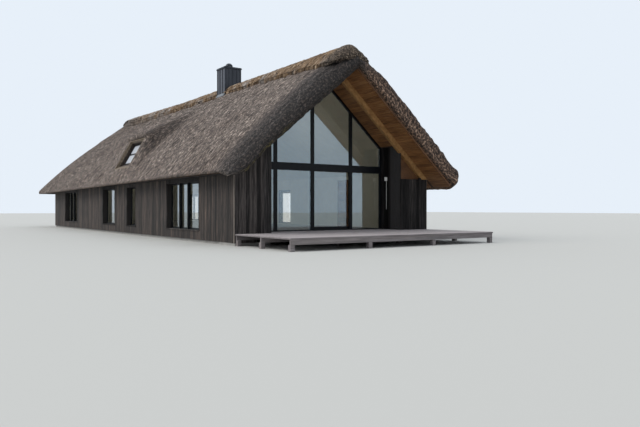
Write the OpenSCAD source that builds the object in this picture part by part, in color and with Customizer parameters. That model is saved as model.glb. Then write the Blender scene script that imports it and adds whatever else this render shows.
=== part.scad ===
// Thatched beach house: a long timber house with a hipped reed roof,
// a glazed gable set back under the verge and a sliding patio door.
// X runs across the gable, Y runs back from it, Z is up.
// Zero is the middle of the footprint at the ground.

/* [House] */
// Outside width of the house across the gable
house_w = 8900; // [8000:50:10000]
// Outside length from the gable plane to the far wall
house_l = 27400; // [24000:100:30000]
// Height of the floor above the ground
floor_z = 400; // [300:10:600]
// Height of the wall heads above the floor
wall_h = 2080; // [1950:10:2400]
// Thickness of the outside walls
wall_t = 300; // [200:10:400]
// Thickness of the floor
floor_t = 180; // [120:10:250]
// Distance that the foundation stands behind the walls
plinth_set = 40; // [20:5:100]

/* [Roof] */
// Height of the near eave's underside above the floor
eave_h = 2082; // [2000:2:2300]
// Pitch of the slope over the long wall with the skylight, in degrees
near_pitch = 39.7; // [38:0.1:41]
// Pitch of the slope on the sea side, in degrees
sea_pitch = 41.3; // [40:0.1:42]
// Pitch of the hipped far end, in degrees
hip_pitch = 53; // [50:0.1:56]
// Thickness of the thatch, measured square to a slope
thatch_t = 540; // [450:10:600]
// Reach of the near eave past the wall
near_eave = 450; // [350:10:550]
// Reach of the sea eave past the wall
sea_eave = 500; // [400:10:600]
// Reach of the thatch past the gable plane
verge = 1100; // [900:10:1300]
// Reach of the hipped end past the far wall
hip_eave = 1950; // [1700:10:2200]
// Rounding of the lower edge of the verge
low_r = 110; // [60:5:150]
// Rounding of the upper edge of the verge
top_r = 240; // [150:10:280]
// How far the near and the hip thatch reach past their underside at the eave, which is cut level
eave_lip = 250; // [150:5:300]
// Upright height of the thin edge at the near and the hip eave
eave_edge = 50; // [40:5:150]
// How far the sea thatch reaches past its underside at the eave
sea_lip = 330; // [200:5:400]
// Upright height of the edge at the sea eave
sea_edge = 330; // [250:10:400]
// How far the sea slope bows up between ridge and eave
sea_bow = 170; // [0:10:250]
// Thickness of the boards under the thatch
lining_t = 40; // [25:1:60]
// Thickness of the ridge cap, measured square to a slope
cap_t = 200; // [140:5:240]
// Radius that rounds the crown of the ridge cap
crown_r = 400; // [300:10:500]
// Reach of the ridge cap down each slope, measured level
cap_w = 780; // [650:10:900]

/* [Gable] */
// Width of the strips of wall on both sides of the porch
strip_w = 1410; // [1200:10:1600]
// Depth of the glazing behind the gable plane
recess = 1200; // [900:10:1500]
// Width of the upright posts of the glazing
post_w = 140; // [100:5:180]
// Depth of the glazing frame
frame_d = 90; // [70:5:120]
// Height of the transom's top above the floor
transom_top = 2630; // [2500:10:2800]
// Height of the transom
transom_h = 290; // [200:10:320]
// Distance of the first post from the left side of the porch
post_1 = 905; // [800:5:1100]
// Distance of the second post from the left side of the porch
post_2 = 2585; // [2500:5:2750]
// Distance of the third post from the left side of the porch
post_3 = 4460; // [4300:5:4600]
// Width of the frame's outer members
jamb_w = 100; // [70:5:130]
// Thickness of the glass
glass_t = 24; // [16:1:40]
// Thickness of the raking beams in the gable plane
beam_t = 140; // [100:5:200]
// Depth of the raking beams
beam_d = 230; // [160:5:260]

/* [Patio door] */
// Thickness of the sliding leaf
leaf_t = 56; // [45:1:70]
// Width of the leaf's stiles and rails
stile_w = 110; // [80:5:140]
// Clearance round the moving leaf
door_gap = 8; // [6:1:15]
// Height of the pull handle's middle above the floor
handle_z = 1100; // [900:10:1200]
// Length of the pull handle
handle_l = 260; // [180:10:400]

/* [Long wall windows] */
// Distance of the living room window from the gable plane
living_window_y = 2930; // [2500:10:3300]
// Width of the living room window
living_window_w = 3290; // [3000:10:3600]
// Distance of the small window from the gable plane
small_window_y = 10230; // [9500:10:10800]
// Width of the small window
small_window_w = 1300; // [1000:10:1500]
// Distance of the middle window from the gable plane
middle_window_y = 13530; // [13000:10:14000]
// Width of the middle window
middle_window_w = 2110; // [1800:10:2400]
// Distance of the far window from the gable plane
far_window_y = 21290; // [20500:10:21500]
// Width of the far window
far_window_w = 3080; // [2800:10:3300]
// Width of the widest light of a window with three lights
wide_light = 1405; // [1200:5:1500]
// Width of the middle light of such a window
middle_light = 850; // [700:5:900]
// Height of the window heads above the floor
window_h = 1900; // [1700:10:2000]
// Height of the window sills above the floor
sill_h = 60; // [40:5:120]
// Depth of the window reveals
reveal = 190; // [120:5:220]
// Width of the window frame members
sash_w = 60; // [45:1:80]
// Depth of the window frame members
sash_d = 70; // [50:1:90]

/* [Skylight] */
// Distance of the skylight recess from the gable plane
sky_y = 11300; // [9500:50:16000]
// Width of the skylight recess
sky_w = 2240; // [1500:20:2400]
// Level distance from the ridge to the foot of the recess on the face of the thatch
sky_x = 4490; // [4200:10:4650]
// Height of the recess, measured along the window
sky_l = 1750; // [1400:10:1900]
// Steepness of the window, in degrees
sky_pitch = 61; // [55:0.5:66]
// Depth of the window behind the front of the recess
sky_depth = 280; // [150:10:400]
// Rise of the window's foot over the foot of the recess
sky_sill = 410; // [250:10:500]
// Thickness of the timber that lines the recess
cheek_t = 60; // [40:1:80]
// Depth of the skylight frame
sky_h = 80; // [60:5:110]
// Width of the skylight frame's members
sky_bar = 70; // [50:5:90]
// Thickness of the thatched hood over the head of the recess
hood_t = 270; // [150:10:350]
// How far the hood runs out on each side of the recess
hood_side = 1500; // [600:50:1800]

/* [Chimney] */
// Distance of the chimney from the gable plane
chimney_y = 8960; // [8000:20:11000]
// Width and depth of the chimney
chimney_w = 860; // [700:10:1000]
// Height of the chimney's top above the floor
chimney_top = 7900; // [7600:10:8300]
// Thickness of the chimney's casing
casing_t = 60; // [40:1:90]
// Thickness of the chimney's lid
lid_t = 50; // [30:1:80]
// Outside radius of the flue pipe
flue_r = 110; // [90:1:150]
// Height of the flue pipe above the chimney's lid
flue_h = 120; // [80:5:250]
// Radius of the cowl
cowl_r = 190; // [160:1:260]
// Height of the cowl's dome
cowl_h = 145; // [100:1:160]

/* [Deck] */
// Reach of the deck in front of the gable plane
deck_l = 3540; // [2800:20:4200]
// Thickness of the deck boards
deck_t = 40; // [28:1:60]
// Height of the joists under the deck
joist_h = 160; // [120:5:200]
// Thickness of the joists
joist_t = 60; // [45:5:80]
// Side of the square posts under the deck
deck_post = 140; // [100:5:180]
// Distance of posts and joists from the deck's edges
deck_in = 20; // [10:5:60]

/* [Wall lamp] */
// Distance of the lamp from the gable plane
lamp_y = 860; // [400:10:1100]
// Height of the lamp's lower end above the floor
lamp_z = 2030; // [1800:10:2200]
// Length of the lamp
lamp_h = 150; // [100:5:200]
// Radius of the lamp
lamp_r = 45; // [30:1:60]
// Thickness of the lamp's wall plate
lamp_plate = 20; // [15:1:30]
// Height of the conduit's lower end above the floor
conduit_z = 840; // [600:10:1200]

/* [Inside] */
// Thickness of the timber panel on the sea wall of the living room
panel_t = 40; // [20:1:80]
// Distance of the panel from the gable plane
panel_y = 4900; // [3000:50:5500]
// Width of the panel
panel_w = 900; // [600:10:1400]
// Height of the panel
panel_h = 2250; // [1800:10:2300]

/* [Hidden] */
seat = 0.3;
long = 60000;
gable_y = -house_l / 2;
far_y = house_l / 2;
wall_x = house_w / 2;
in_x = wall_x - wall_t;
glaze_y = gable_y + recess;
glaze_x = wall_x - strip_w;
head_z = floor_z + wall_h;
near_m = tan(near_pitch);
sea_m = tan(sea_pitch);
hip_m = tan(hip_pitch);
thatch_v = thatch_t / cos(near_pitch);
lining_v = lining_t / cos(near_pitch);
lining_drop = seat + lining_v + seat;
near_x = wall_x + near_eave;
apex_z = floor_z + eave_h + near_m * near_x;
sea_x = wall_x + sea_eave;
verge_y = gable_y - verge;
hip_y = far_y + hip_eave;
ridge_end_y = hip_y - near_m * near_x / hip_m;
ridge_z = apex_z + thatch_v;
cap_z = ridge_z + seat;
cap_end = 120;
cap_r = 330;
verge_in = low_r + 40;
verge_board = 30;
soffit_t = 22;
beam_v = beam_d / cos(near_pitch);

// Height of the thatch's underside over a place across the house
function under(x) = apex_z - (x < 0 ? near_m * -x : sea_m * x);
// The same for the underside of the lining boards, which the walls reach
function soffit(x) = under(x) - lining_drop;
// Height of the hipped end's underside
function hip_under(y) = apex_z - hip_m * max(0, y - ridge_end_y);
// Points of a round corner of radius r about a centre, from angle a to angle b
function arc(cx, cz, r, a, b, n = 5) =
    [for (i = [0 : n]) let (turn = a + (b - a) * i / n) [cx + r * cos(turn), cz + r * sin(turn)]];

// Extrude a drawing of X and Z along the house from y0 to y1
module along_y(y0, y1) {
    translate([0, y1, 0])
        rotate([90, 0, 0])
            linear_extrude(y1 - y0)
                children();
}
// Extrude a drawing of Y and Z across the house from x0 to x1
module along_x(x0, x1) {
    translate([x0, 0, 0])
        rotate([90, 0, 90])
            linear_extrude(x1 - x0)
                children();
}
// A block between two corners
module block(a, b) {
    translate(a)
        cube(b - a);
}

// Share of the way to the eave where the thatch begins to thin, and the rounding of a thin eave
thin_from = 0.43;
thin_r = 30;
// Level distance from the ridge to which a slope stays plain, so that the ridge cap lies flat on it
function plain_to(m) = (cap_w + 80) * near_m / m;
// Outermost reach of each slope from its ridge
near_edge = near_x + eave_lip;
sea_out = sea_x + sea_lip;
hip_out = near_edge * near_m / hip_m;
// How far each slope is thinned at its eave
near_thin = thatch_v - near_m * eave_lip - eave_edge;
sea_thin = thatch_v - sea_m * sea_lip - sea_edge;
// Height of a slope's face at a level distance from the ridge
function face_z(x, m, edge, thin, bow = 0) =
    ridge_z - m * x + bow * sin(180 * max(0, x - plain_to(m)) / (edge - plain_to(m)))
    - thin * pow(max(0, x / edge - thin_from) / (1 - thin_from), 2);
// Points of a slope's face from the eave up to the ridge
function face(m, edge, thin, bow = 0, n = 12) = concat(
    [for (i = [n : -1 : 0])
        let (x = plain_to(m) + (edge - plain_to(m)) * i / n) [x, face_z(x, m, edge, thin, bow)]],
    [[0, ridge_z]]);
// One slope of thatch drawn across: full at the ridge, thinner to the eave, which is cut level
module slope_profile(m, reach, edge, thin, r, bow = 0) {
    low = apex_z - m * reach;
    polygon(concat([[0, apex_z], [reach, low]],
        arc(edge - r, low + r, r, 270, 360),
        face(m, edge, thin, bow)));
}
// The slab seen from its eave: the front verge is a rounded nose
module verge_profile(t) {
    back = hip_y + long / 2;
    polygon(concat([[back, 0]],
        arc(verge_y + low_r, low_r, low_r, 270, 180),
        arc(verge_y + top_r, t - top_r, top_r, 180, 90),
        [[back, t]]));
}
// A slope that falls to +X, with its eave and rounded verge, mitred at its hip
module slope(m, reach, edge, thin, r, bow = 0) {
    pitch = atan(m);
    intersection() {
        along_y(verge_y, hip_y + long / 2)
            slope_profile(m, reach, edge, thin, r, bow);
        translate([0, 0, apex_z])
            rotate([0, pitch, 0])
                translate([-thatch_v, 0, 0])
                    rotate([90, 0, 90])
                        linear_extrude(long / 2)
                            verge_profile((thatch_v + bow) * cos(pitch));
        linear_extrude(long) slope_plan(m);
    }
}
// All space in front of and below the face of the hipped end
module below_hip() {
    translate([0, ridge_end_y, 0])
        along_x(-long / 2, long / 2)
            polygon(concat([[hip_out, 0], [-long, 0], [-long, 2 * ridge_z], [0, 2 * ridge_z]],
                [for (i = [13 : -1 : 0]) face(hip_m, hip_out, near_thin)[i]]));
}
// Level plan of the slope on one side, mitred along the hip
module slope_plan(m) {
    polygon([[0, verge_y - 1], [long, verge_y - 1],
        [long, ridge_end_y + long * m / hip_m], [0, ridge_end_y]]);
}
// Level plan of the hipped end between the two mitres
module hip_plan() {
    polygon([[0, ridge_end_y + seat * 2], [-long, ridge_end_y + seat * 2 + long * near_m / hip_m],
        [long, ridge_end_y + seat * 2 + long * sea_m / hip_m]]);
}
// A place in the section of the recess: up along the window from the foot, and out square to it
sky_foot_z = face_z(sky_x, near_m, near_edge, near_thin);
function sky_point(up, out) = [
    -sky_x + up * cos(sky_pitch) - out * sin(sky_pitch),
    sky_foot_z + up * sin(sky_pitch) + out * cos(sky_pitch)
];
// How far in from the front of the recess the underside of the lining is, at a height up the window
function sky_reach(up) =
    (sky_foot_z + near_m * sky_x - apex_z + lining_drop + up * (sin(sky_pitch) - near_m * cos(sky_pitch)))
    / (cos(sky_pitch) + near_m * sin(sky_pitch));
// Section of the recess, drawn in by an inset: a sloped sill, the window's place and the way to the room
module recess_section(inset, inner, outer = 0) {
    head = sky_l - inset;
    foot = sky_sill + inset;
    front = outer > 0 ? [sky_point(inset, 0), sky_point(inset, outer)] : [sky_point(inset, 0)];
    polygon(concat(front, [sky_point(head, outer), sky_point(head, -sky_reach(head) - inner),
        sky_point(foot, -sky_reach(foot) - inner), sky_point(foot, -sky_depth)]));
}
module skylight_space() {
    along_y(gable_y + sky_y, gable_y + sky_y + sky_w)
        recess_section(0, lining_drop, hood_t * 2);
}
// Middle of the hood's rounded nose, and the place near the ridge where its top meets the slope
nose = sky_point(sky_l + hood_t / 2, 0);
hood_end = [-cap_w - 100, face_z(cap_w + 100, near_m, near_edge, near_thin)];
// The thatched hood over the recess, drawn across: a round nose, and a top that runs out at the slope's face
module hood_profile() {
    way = hood_end - nose;
    touch = atan2(way[1], way[0]) + acos(hood_t / 2 / norm(way));
    top = nose + hood_t / 2 * [cos(touch), sin(touch)];
    back = hood_end + (hood_end - top) * 0.1;
    polygon(concat([sky_point(0, 0)], arc(nose[0], nose[1], hood_t / 2, 180 + sky_pitch, touch),
        [back, back - [0, thatch_v / 2], sky_point(0, 0) - [0, eave_edge]]));
}
// The hood seen along the slope: full over the recess, with sides that fall softly into the thatch
module hood_sides() {
    y0 = gable_y + sky_y;
    y1 = y0 + sky_w;
    low = thatch_t * 0.6;
    rise = (nose[1] - under(nose[0])) * cos(near_pitch) + hood_t / 2 - low;
    side = [for (s = [0 : 0.125 : 1]) [s * hood_side, low + rise * (1 + cos(180 * s)) / 2]];
    polygon(concat([[y1 + hood_side, 0], [y0 - hood_side, 0]],
        [for (i = [8 : -1 : 0]) [y0 - side[i][0], side[i][1]]],
        [for (i = [0 : 8]) [y1 + side[i][0], side[i][1]]]));
}
module skylight_hood() {
    intersection() {
        along_y(gable_y + sky_y - hood_side, gable_y + sky_y + sky_w + hood_side)
            hood_profile();
        translate([0, 0, apex_z])
            rotate([0, -near_pitch, 0])
                translate([-long / 2, 0, 0])
                    rotate([90, 0, 90])
                        linear_extrude(long / 2)
                            hood_sides();
    }
}
// Space that the chimney takes out of the roof
module chimney_space() {
    block([-chimney_w / 2 - seat, gable_y + chimney_y - seat, floor_z + wall_h],
        [chimney_w / 2 + seat, gable_y + chimney_y + chimney_w + seat, ridge_z + 2 * cap_t]);
}

// The slab under the house, set a little behind the face of the walls
module foundation_slab() {
    color("dimgray")
        block([-wall_x + plinth_set, glaze_y, 0],
            [wall_x - plinth_set, far_y - plinth_set, floor_z - floor_t]);
}
module floor_slab() {
    color("tan")
        block([-wall_x, glaze_y, floor_z - floor_t], [wall_x, far_y, floor_z]);
}
// The footings under the two strips of wall beside the porch
module porch_piers() {
    color("dimgray")
        for (side = [-1, 1])
            block([min(side * glaze_x, side * wall_x), gable_y, 0],
                [max(side * glaze_x, side * wall_x), glaze_y, floor_z]);
}

// Windows of a long wall: distance from the gable plane and width
windows = [[living_window_y, living_window_w], [small_window_y, small_window_w],
    [middle_window_y, middle_window_w], [far_window_y, far_window_w]];
// Places of a window's mullions: only a wide window has three lights
function mullions(w) = w > 2 * wide_light ? [wide_light, wide_light + middle_light] : [];
// The sea side has no window beside the living room
function side_windows(side) = side < 0 ? windows : [for (i = [1 : len(windows) - 1]) windows[i]];
// Upright section of a wall between two places across the house, its head a drop below the lining
module strip(x0, x1, drop = 0) {
    polygon([[x0, floor_z], [x0, soffit(x0) - drop], [x1, soffit(x1) - drop], [x1, floor_z]]);
}
// A long wall, notched at its front end under the raking beam
module long_wall(side) {
    difference() {
        union() {
            along_y(gable_y, gable_y + beam_t) strip(side * wall_x, side * in_x, beam_v + seat);
            along_y(gable_y + beam_t, far_y) strip(side * wall_x, side * in_x);
        }
        for (w = side_windows(side))
            block([side * wall_x - wall_t * 2, gable_y + w[0], floor_z + sill_h],
                [side * wall_x + wall_t * 2, gable_y + w[0] + w[1], floor_z + window_h]);
    }
}
module near_wall() { color("#4b433e") long_wall(-1); }
module sea_wall() { color("#4b433e") long_wall(1); }
module far_wall() {
    y0 = far_y - 2 * wall_t;
    y1 = far_y + wall_t;
    color("#4b433e")
        intersection() {
            along_y(far_y - wall_t, far_y)
                polygon([[-in_x, floor_z], [-in_x, soffit(-in_x)], [0, soffit(0)],
                    [in_x, soffit(in_x)], [in_x, floor_z]]);
            along_x(-wall_x, wall_x)
                polygon([[y0, floor_z], [y0, hip_under(y0) - lining_drop],
                    [y1, hip_under(y1) - lining_drop], [y1, floor_z]]);
        }
}
// The left strip of wall, notched under the raking beam
module front_left_wall() {
    color("#2e2b2b") {
        along_y(gable_y, gable_y + beam_t) strip(-in_x, -glaze_x, beam_v + seat);
        along_y(gable_y + beam_t, gable_y + wall_t) strip(-in_x, -glaze_x);
    }
}
module front_right_wall() {
    color("#2e2b2b")
        block([glaze_x, gable_y, floor_z], [in_x, gable_y + wall_t, head_z]);
}
module return_wall(side) {
    along_y(gable_y + wall_t, glaze_y + wall_t)
        strip(side * glaze_x, side * (glaze_x + wall_t));
}
module left_return_wall() { color("#2e2b2b") return_wall(-1); }
module right_return_wall() { color("#2e2b2b") return_wall(1); }
module timber_spandrel() {
    color("#7a4f2c")
        along_y(gable_y + beam_t, gable_y + wall_t)
            polygon([[glaze_x, head_z], [in_x, head_z], [in_x, soffit(in_x)], [glaze_x, soffit(glaze_x)]]);
}
module inner_timber_panel() {
    color("#8a6844")
        block([in_x - panel_t, gable_y + panel_y, floor_z],
            [in_x, gable_y + panel_y + panel_w, floor_z + panel_h]);
}

module thatch_near() {
    color("#7d7268")
        difference() {
            union() {
                mirror([1, 0, 0]) slope(near_m, near_x, near_edge, near_thin, thin_r);
                skylight_hood();
            }
            skylight_space();
            chimney_space();
        }
}
module thatch_sea() {
    color("#7d7268")
        difference() {
            intersection() {
                slope(sea_m, sea_x, sea_out, sea_thin, low_r, sea_bow);
                below_hip();
            }
            chimney_space();
        }
}
module thatch_hip() {
    color("#7d7268")
        intersection() {
            translate([0, ridge_end_y, 0])
                along_x(-long / 2, long / 2)
                    slope_profile(hip_m, hip_y - ridge_end_y, hip_out, near_thin, thin_r);
            linear_extrude(long) hip_plan();
        }
}
// The ridge cap drawn across: a saddle with a round crown and round lower edges
module cap_profile() {
    crown_z = cap_z + (cap_t - crown_r) / cos(near_pitch);
    polygon(concat([[0, cap_z]],
        [for (q = cap_edge(near_m, near_pitch)) [-q[0], q[1]]],
        arc(0, crown_z, crown_r, 90 + near_pitch, 90 - sea_pitch, 12),
        [for (i = [5 : -1 : 0]) cap_edge(sea_m, sea_pitch)[i]]));
}
// Points round the lower edge of the cap on a slope that falls to +X
function cap_edge(m, pitch) =
    let (x = cap_w - cap_t * cos(pitch), z = cap_z - m * cap_w + cap_t * sin(pitch))
    arc(x, z, cap_t, -pitch, 90 - pitch);
module ridge_cap() {
    front = verge_y + cap_end;
    back = ridge_end_y + cap_end;
    low = cap_z - sea_m * cap_w - cap_t;
    top = cap_z + cap_t;
    color("#8f7450")
        difference() {
            intersection() {
                along_y(front, back) cap_profile();
                along_x(-2 * cap_w, 2 * cap_w)
                    polygon(concat([[front, low]],
                        arc(front + cap_r, top - cap_r, cap_r, 180, 90),
                        arc(back - cap_r, top - cap_r, cap_r, 90, 0),
                        [[back, low]]));
            }
            chimney_space();
        }
}

// Boards under one slope, as a drawing across the house
module lining_profile(side, reach, m, v = lining_v) {
    top = apex_z - seat;
    polygon([[0, top], [side * reach, top - m * reach], [side * reach, top - m * reach - v], [0, top - v]]);
}
module near_lining() {
    color("#9a6b3f")
        difference() {
            intersection() {
                along_y(verge_y + verge_in, hip_y + long / 2)
                    lining_profile(-1, near_x - 40, near_m);
                linear_extrude(long) mirror([1, 0]) slope_plan(near_m);
            }
            skylight_space();
            chimney_space();
        }
}
module sea_lining() {
    color("#9a6b3f")
        difference() {
            intersection() {
                along_y(verge_y + verge_in, hip_y + long / 2)
                    lining_profile(1, sea_x - 40, sea_m);
                linear_extrude(long) slope_plan(sea_m);
            }
            chimney_space();
        }
}
module hip_lining() {
    color("#9a6b3f")
        intersection() {
            translate([0, ridge_end_y, 0])
                along_x(-long / 2, long / 2)
                    lining_profile(1, hip_y - ridge_end_y - 40, hip_m);
            linear_extrude(long) hip_plan();
        }
}
// A raking beam in the gable plane, cut level at its foot
module gable_beam(side, m, foot_z) {
    top = apex_z - lining_drop;
    reach = near_x;
    along_y(gable_y, gable_y + beam_t)
        intersection() {
            polygon([[side * seat / 2, top], [side * reach, top - m * reach],
                [side * reach, top - m * reach - beam_v], [side * seat / 2, top - beam_v]]);
            translate([side > 0 ? 0 : -reach, foot_z]) square([reach, long]);
        }
}
module gable_beams() {
    color("#b08a5c") {
        gable_beam(-1, near_m, floor_z + eave_h + seat);
        gable_beam(1, sea_m, head_z);
    }
}
// The level soffit board under the near eave
module near_eave_soffit() {
    color("#5a4636")
        block([-near_x + 100, gable_y, floor_z + eave_h - soffit_t],
            [-wall_x, far_y, floor_z + eave_h]);
}
// Thin edge boards that close the lining along the front verge
module verge_boards() {
    color("#a57a4a")
        along_y(verge_y + verge_in - verge_board, verge_y + verge_in) {
            lining_profile(-1, near_x - 60, near_m, 2 * lining_v);
            lining_profile(1, sea_x - 60, sea_m, 2 * lining_v);
        }
}

// Outline of the glazed gable under the lining
module gable_outline(inset = 0) {
    v = inset / cos(sea_pitch);
    x = glaze_x - inset;
    polygon([[-x, floor_z + inset / 2], [x, floor_z + inset / 2],
        [x, soffit(x) - v], [0, soffit(0) - v], [-x, soffit(-x) - v]]);
}
posts = [for (p = [post_1, post_2, post_3]) p - glaze_x];
upper_z = floor_z + transom_top;
lower_z = upper_z - transom_h;
module gable_frame() {
    color("#1d1f22")
        along_y(glaze_y, glaze_y + frame_d)
            difference() {
                gable_outline();
                difference() {
                    gable_outline(jamb_w);
                    for (x = posts)
                        translate([x - post_w / 2, 0]) square([post_w, long]);
                    translate([-long, lower_z]) square([2 * long, transom_h]);
                }
            }
}
// Both edges of the bays between the posts
bays = [[jamb_w - glaze_x, posts[0] - post_w / 2], [posts[0] + post_w / 2, posts[1] - post_w / 2],
    [posts[1] + post_w / 2, posts[2] - post_w / 2], [posts[2] + post_w / 2, glaze_x - jamb_w]];
// Sheets of glass in the middle of the frame's depth
module sheet() {
    along_y(glaze_y + (frame_d - glass_t) / 2, glaze_y + (frame_d + glass_t) / 2)
        children();
}
module upper_glass() {
    color([0.6, 0.7, 0.75, 0.35])
        for (b = bays)
            sheet()
                intersection() {
                    gable_outline(jamb_w + seat);
                    translate([b[0], upper_z]) square([b[1] - b[0], long]);
                }
}
// The third bay below the transom is the way through
module lower_glass() {
    color([0.6, 0.7, 0.75, 0.35])
        for (b = [bays[0], bays[1], bays[3]])
            sheet()
                translate([b[0], floor_z + jamb_w / 2])
                    square([b[1] - b[0], lower_z - floor_z - jamb_w / 2]);
}

// The sliding leaf runs just inside the frame, its stiles behind the second and third posts
leaf_x0 = posts[1] - post_w / 2;
leaf_x1 = posts[2] + post_w / 2;
leaf_y = glaze_y + frame_d + door_gap;
leaf_z0 = floor_z + 40;
leaf_z1 = upper_z - transom_h / 2;
leaf_travel = 1550;
rail_w = 12;
rail_h = 15;
guide_t = 20;
track_over = 60;
// A low plate with the rail that carries the leaf, and the channel that guides its head
module door_track() {
    x0 = leaf_x0 - leaf_travel - track_over;
    x1 = leaf_x1 + track_over;
    front_y = glaze_y + frame_d;
    back_y = leaf_y + leaf_t + door_gap;
    rail_y = leaf_y + (leaf_t - rail_w) / 2;
    rail_z = leaf_z0 - seat - rail_h;
    head_low = leaf_z1 + door_gap;
    color("#1d1f22") {
        block([x0, front_y, floor_z], [x1, back_y + guide_t, rail_z]);
        block([x0, rail_y, rail_z], [x1, rail_y + rail_w, rail_z + rail_h]);
        block([x0, front_y, head_low], [x1, back_y + guide_t, head_low + 2 * guide_t]);
        block([x0, back_y, leaf_z1 - guide_t], [x1, back_y + guide_t, head_low]);
    }
}
module door_sash() {
    color("#1d1f22")
        along_y(leaf_y, leaf_y + leaf_t)
            difference() {
                translate([leaf_x0, leaf_z0]) square([leaf_x1 - leaf_x0, leaf_z1 - leaf_z0]);
                translate([leaf_x0 + stile_w, leaf_z0 + stile_w])
                    square([leaf_x1 - leaf_x0 - 2 * stile_w, leaf_z1 - leaf_z0 - 2 * stile_w]);
            }
}
module door_glass() {
    color([0.6, 0.7, 0.75, 0.35])
        along_y(leaf_y + (leaf_t - glass_t) / 2, leaf_y + (leaf_t + glass_t) / 2)
            translate([leaf_x0 + stile_w, leaf_z0 + stile_w])
                square([leaf_x1 - leaf_x0 - 2 * stile_w, leaf_z1 - leaf_z0 - 2 * stile_w]);
}
module door_handle() {
    stand = 40;
    bar_w = 24;
    bar_t = 12;
    color("silver")
        translate([leaf_x0 + stile_w / 2, leaf_y + leaf_t, floor_z + handle_z]) {
            for (z = [-handle_l / 2 + 30, handle_l / 2 - 30])
                translate([0, 0, z])
                    rotate([-90, 0, 0])
                        cylinder(h = stand, r = bar_w * 3 / 8, $fn = 32);
            block([-bar_w / 2, stand, -handle_l / 2], [bar_w / 2, stand + bar_t, handle_l / 2]);
        }
}

// Both edges of each light in a window of width w
function lights(w) = let (m = mullions(w))
    [for (i = [0 : len(m)])
        [i == 0 ? sash_w : m[i - 1] + sash_w / 2, i == len(m) ? w - sash_w : m[i] - sash_w / 2]];
// Frames that fill the windows of one long wall, set back to the bottom of the reveal
module window_frames(side) {
    x0 = side < 0 ? -wall_x + reveal : wall_x - reveal - sash_d;
    for (w = side_windows(side)) {
        y0 = gable_y + w[0];
        along_x(x0, x0 + sash_d)
            difference() {
                translate([y0, floor_z + sill_h]) square([w[1], window_h - sill_h]);
                for (light = lights(w[1]))
                    translate([y0 + light[0], floor_z + sill_h + sash_w])
                        square([light[1] - light[0], window_h - sill_h - 2 * sash_w]);
            }
    }
}
module window_glass(side) {
    x0 = (side < 0 ? -wall_x + reveal : wall_x - reveal - sash_d) + (sash_d - glass_t) / 2;
    for (w = side_windows(side))
        for (light = lights(w[1]))
            block([x0, gable_y + w[0] + light[0], floor_z + sill_h + sash_w],
                [x0 + glass_t, gable_y + w[0] + light[1], floor_z + window_h - sash_w]);
}
module near_window_frames() { color("#1d1f22") window_frames(-1); }
module near_window_glass() { color([0.6, 0.7, 0.75, 0.35]) window_glass(-1); }
module sea_window_frames() { color("#1d1f22") window_frames(1); }
module sea_window_glass() { color([0.6, 0.7, 0.75, 0.35]) window_glass(1); }

// The boards that line the recess, from just behind its front down to the room
module skylight_lining() {
    y0 = gable_y + sky_y;
    y1 = y0 + sky_w;
    color("#6d5138")
        difference() {
            along_y(y0 + seat, y1 - seat) recess_section(seat, -seat);
            along_y(y0 + cheek_t, y1 - cheek_t) recess_section(cheek_t, sky_l, sky_l);
        }
}
// A slab across the window between two depths, drawn in from the lining by an inset
module window_slab(inset, front, depth) {
    back = front + depth;
    y0 = gable_y + sky_y + cheek_t + inset;
    y1 = gable_y + sky_y + sky_w - cheek_t - inset;
    foot = sky_sill + cheek_t + inset;
    head = sky_l - cheek_t - inset;
    along_y(y0, y1)
        polygon([sky_point(foot, -front), sky_point(head, -front),
            sky_point(head, -back), sky_point(foot, -back)]);
}
// The cross bar halfway up the window
module skylight_bar(half) {
    middle = (sky_sill + sky_l) / 2;
    along_y(gable_y + sky_y, gable_y + sky_y + sky_w)
        polygon([sky_point(middle - half, 0), sky_point(middle + half, 0),
            sky_point(middle + half, -2 * sky_depth), sky_point(middle - half, -2 * sky_depth)]);
}
module skylight_frame() {
    color("#1d1f22")
        difference() {
            window_slab(seat, sky_depth + seat, sky_h);
            difference() {
                window_slab(seat + sky_bar, sky_depth - sky_h, 3 * sky_h);
                skylight_bar(sky_bar / 2);
            }
        }
}
module skylight_glass() {
    color([0.6, 0.7, 0.75, 0.35])
        difference() {
            window_slab(2 * seat + sky_bar, sky_depth + (sky_h - glass_t) / 2, glass_t);
            skylight_bar(sky_bar / 2 + seat);
        }
}

lid_over = 30;
module chimney_casing() {
    low = under(-chimney_w / 2) - lining_drop - 40;
    color("#33383f")
        difference() {
            block([-chimney_w / 2, gable_y + chimney_y, low],
                [chimney_w / 2, gable_y + chimney_y + chimney_w, floor_z + chimney_top - lid_t]);
            block([-chimney_w / 2 + casing_t, gable_y + chimney_y + casing_t, low - 1],
                [chimney_w / 2 - casing_t, gable_y + chimney_y + chimney_w - casing_t,
                    floor_z + chimney_top]);
        }
}
module chimney_centre(z) {
    translate([0, gable_y + chimney_y + chimney_w / 2, z])
        children();
}
module chimney_lid() {
    side = chimney_w + 2 * lid_over;
    color("#2a2e34")
        chimney_centre(floor_z + chimney_top - lid_t)
            difference() {
                translate([-side / 2, -side / 2, 0]) cube([side, side, lid_t]);
                translate([0, 0, -1]) cylinder(h = lid_t + 2, r = flue_r + seat, $fn = 64);
            }
}
module flue_pipe() {
    low = ridge_z - thatch_v;
    h = floor_z + chimney_top + flue_h - low;
    color("#222428")
        chimney_centre(low)
            difference() {
                cylinder(h = h, r = flue_r, $fn = 64);
                translate([0, 0, -1]) cylinder(h = h + 2, r = flue_r - 12, $fn = 64);
            }
}
// A shallow dome on top of the flue
module flue_cowl() {
    dome_r = (cowl_r * cowl_r + cowl_h * cowl_h) / (2 * cowl_h);
    color("#222428")
        chimney_centre(floor_z + chimney_top + flue_h)
            intersection() {
                translate([0, 0, cowl_h - dome_r]) sphere(r = dome_r, $fn = 64);
                cylinder(h = cowl_h, r = cowl_r + 1, $fn = 64);
            }
}

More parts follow.
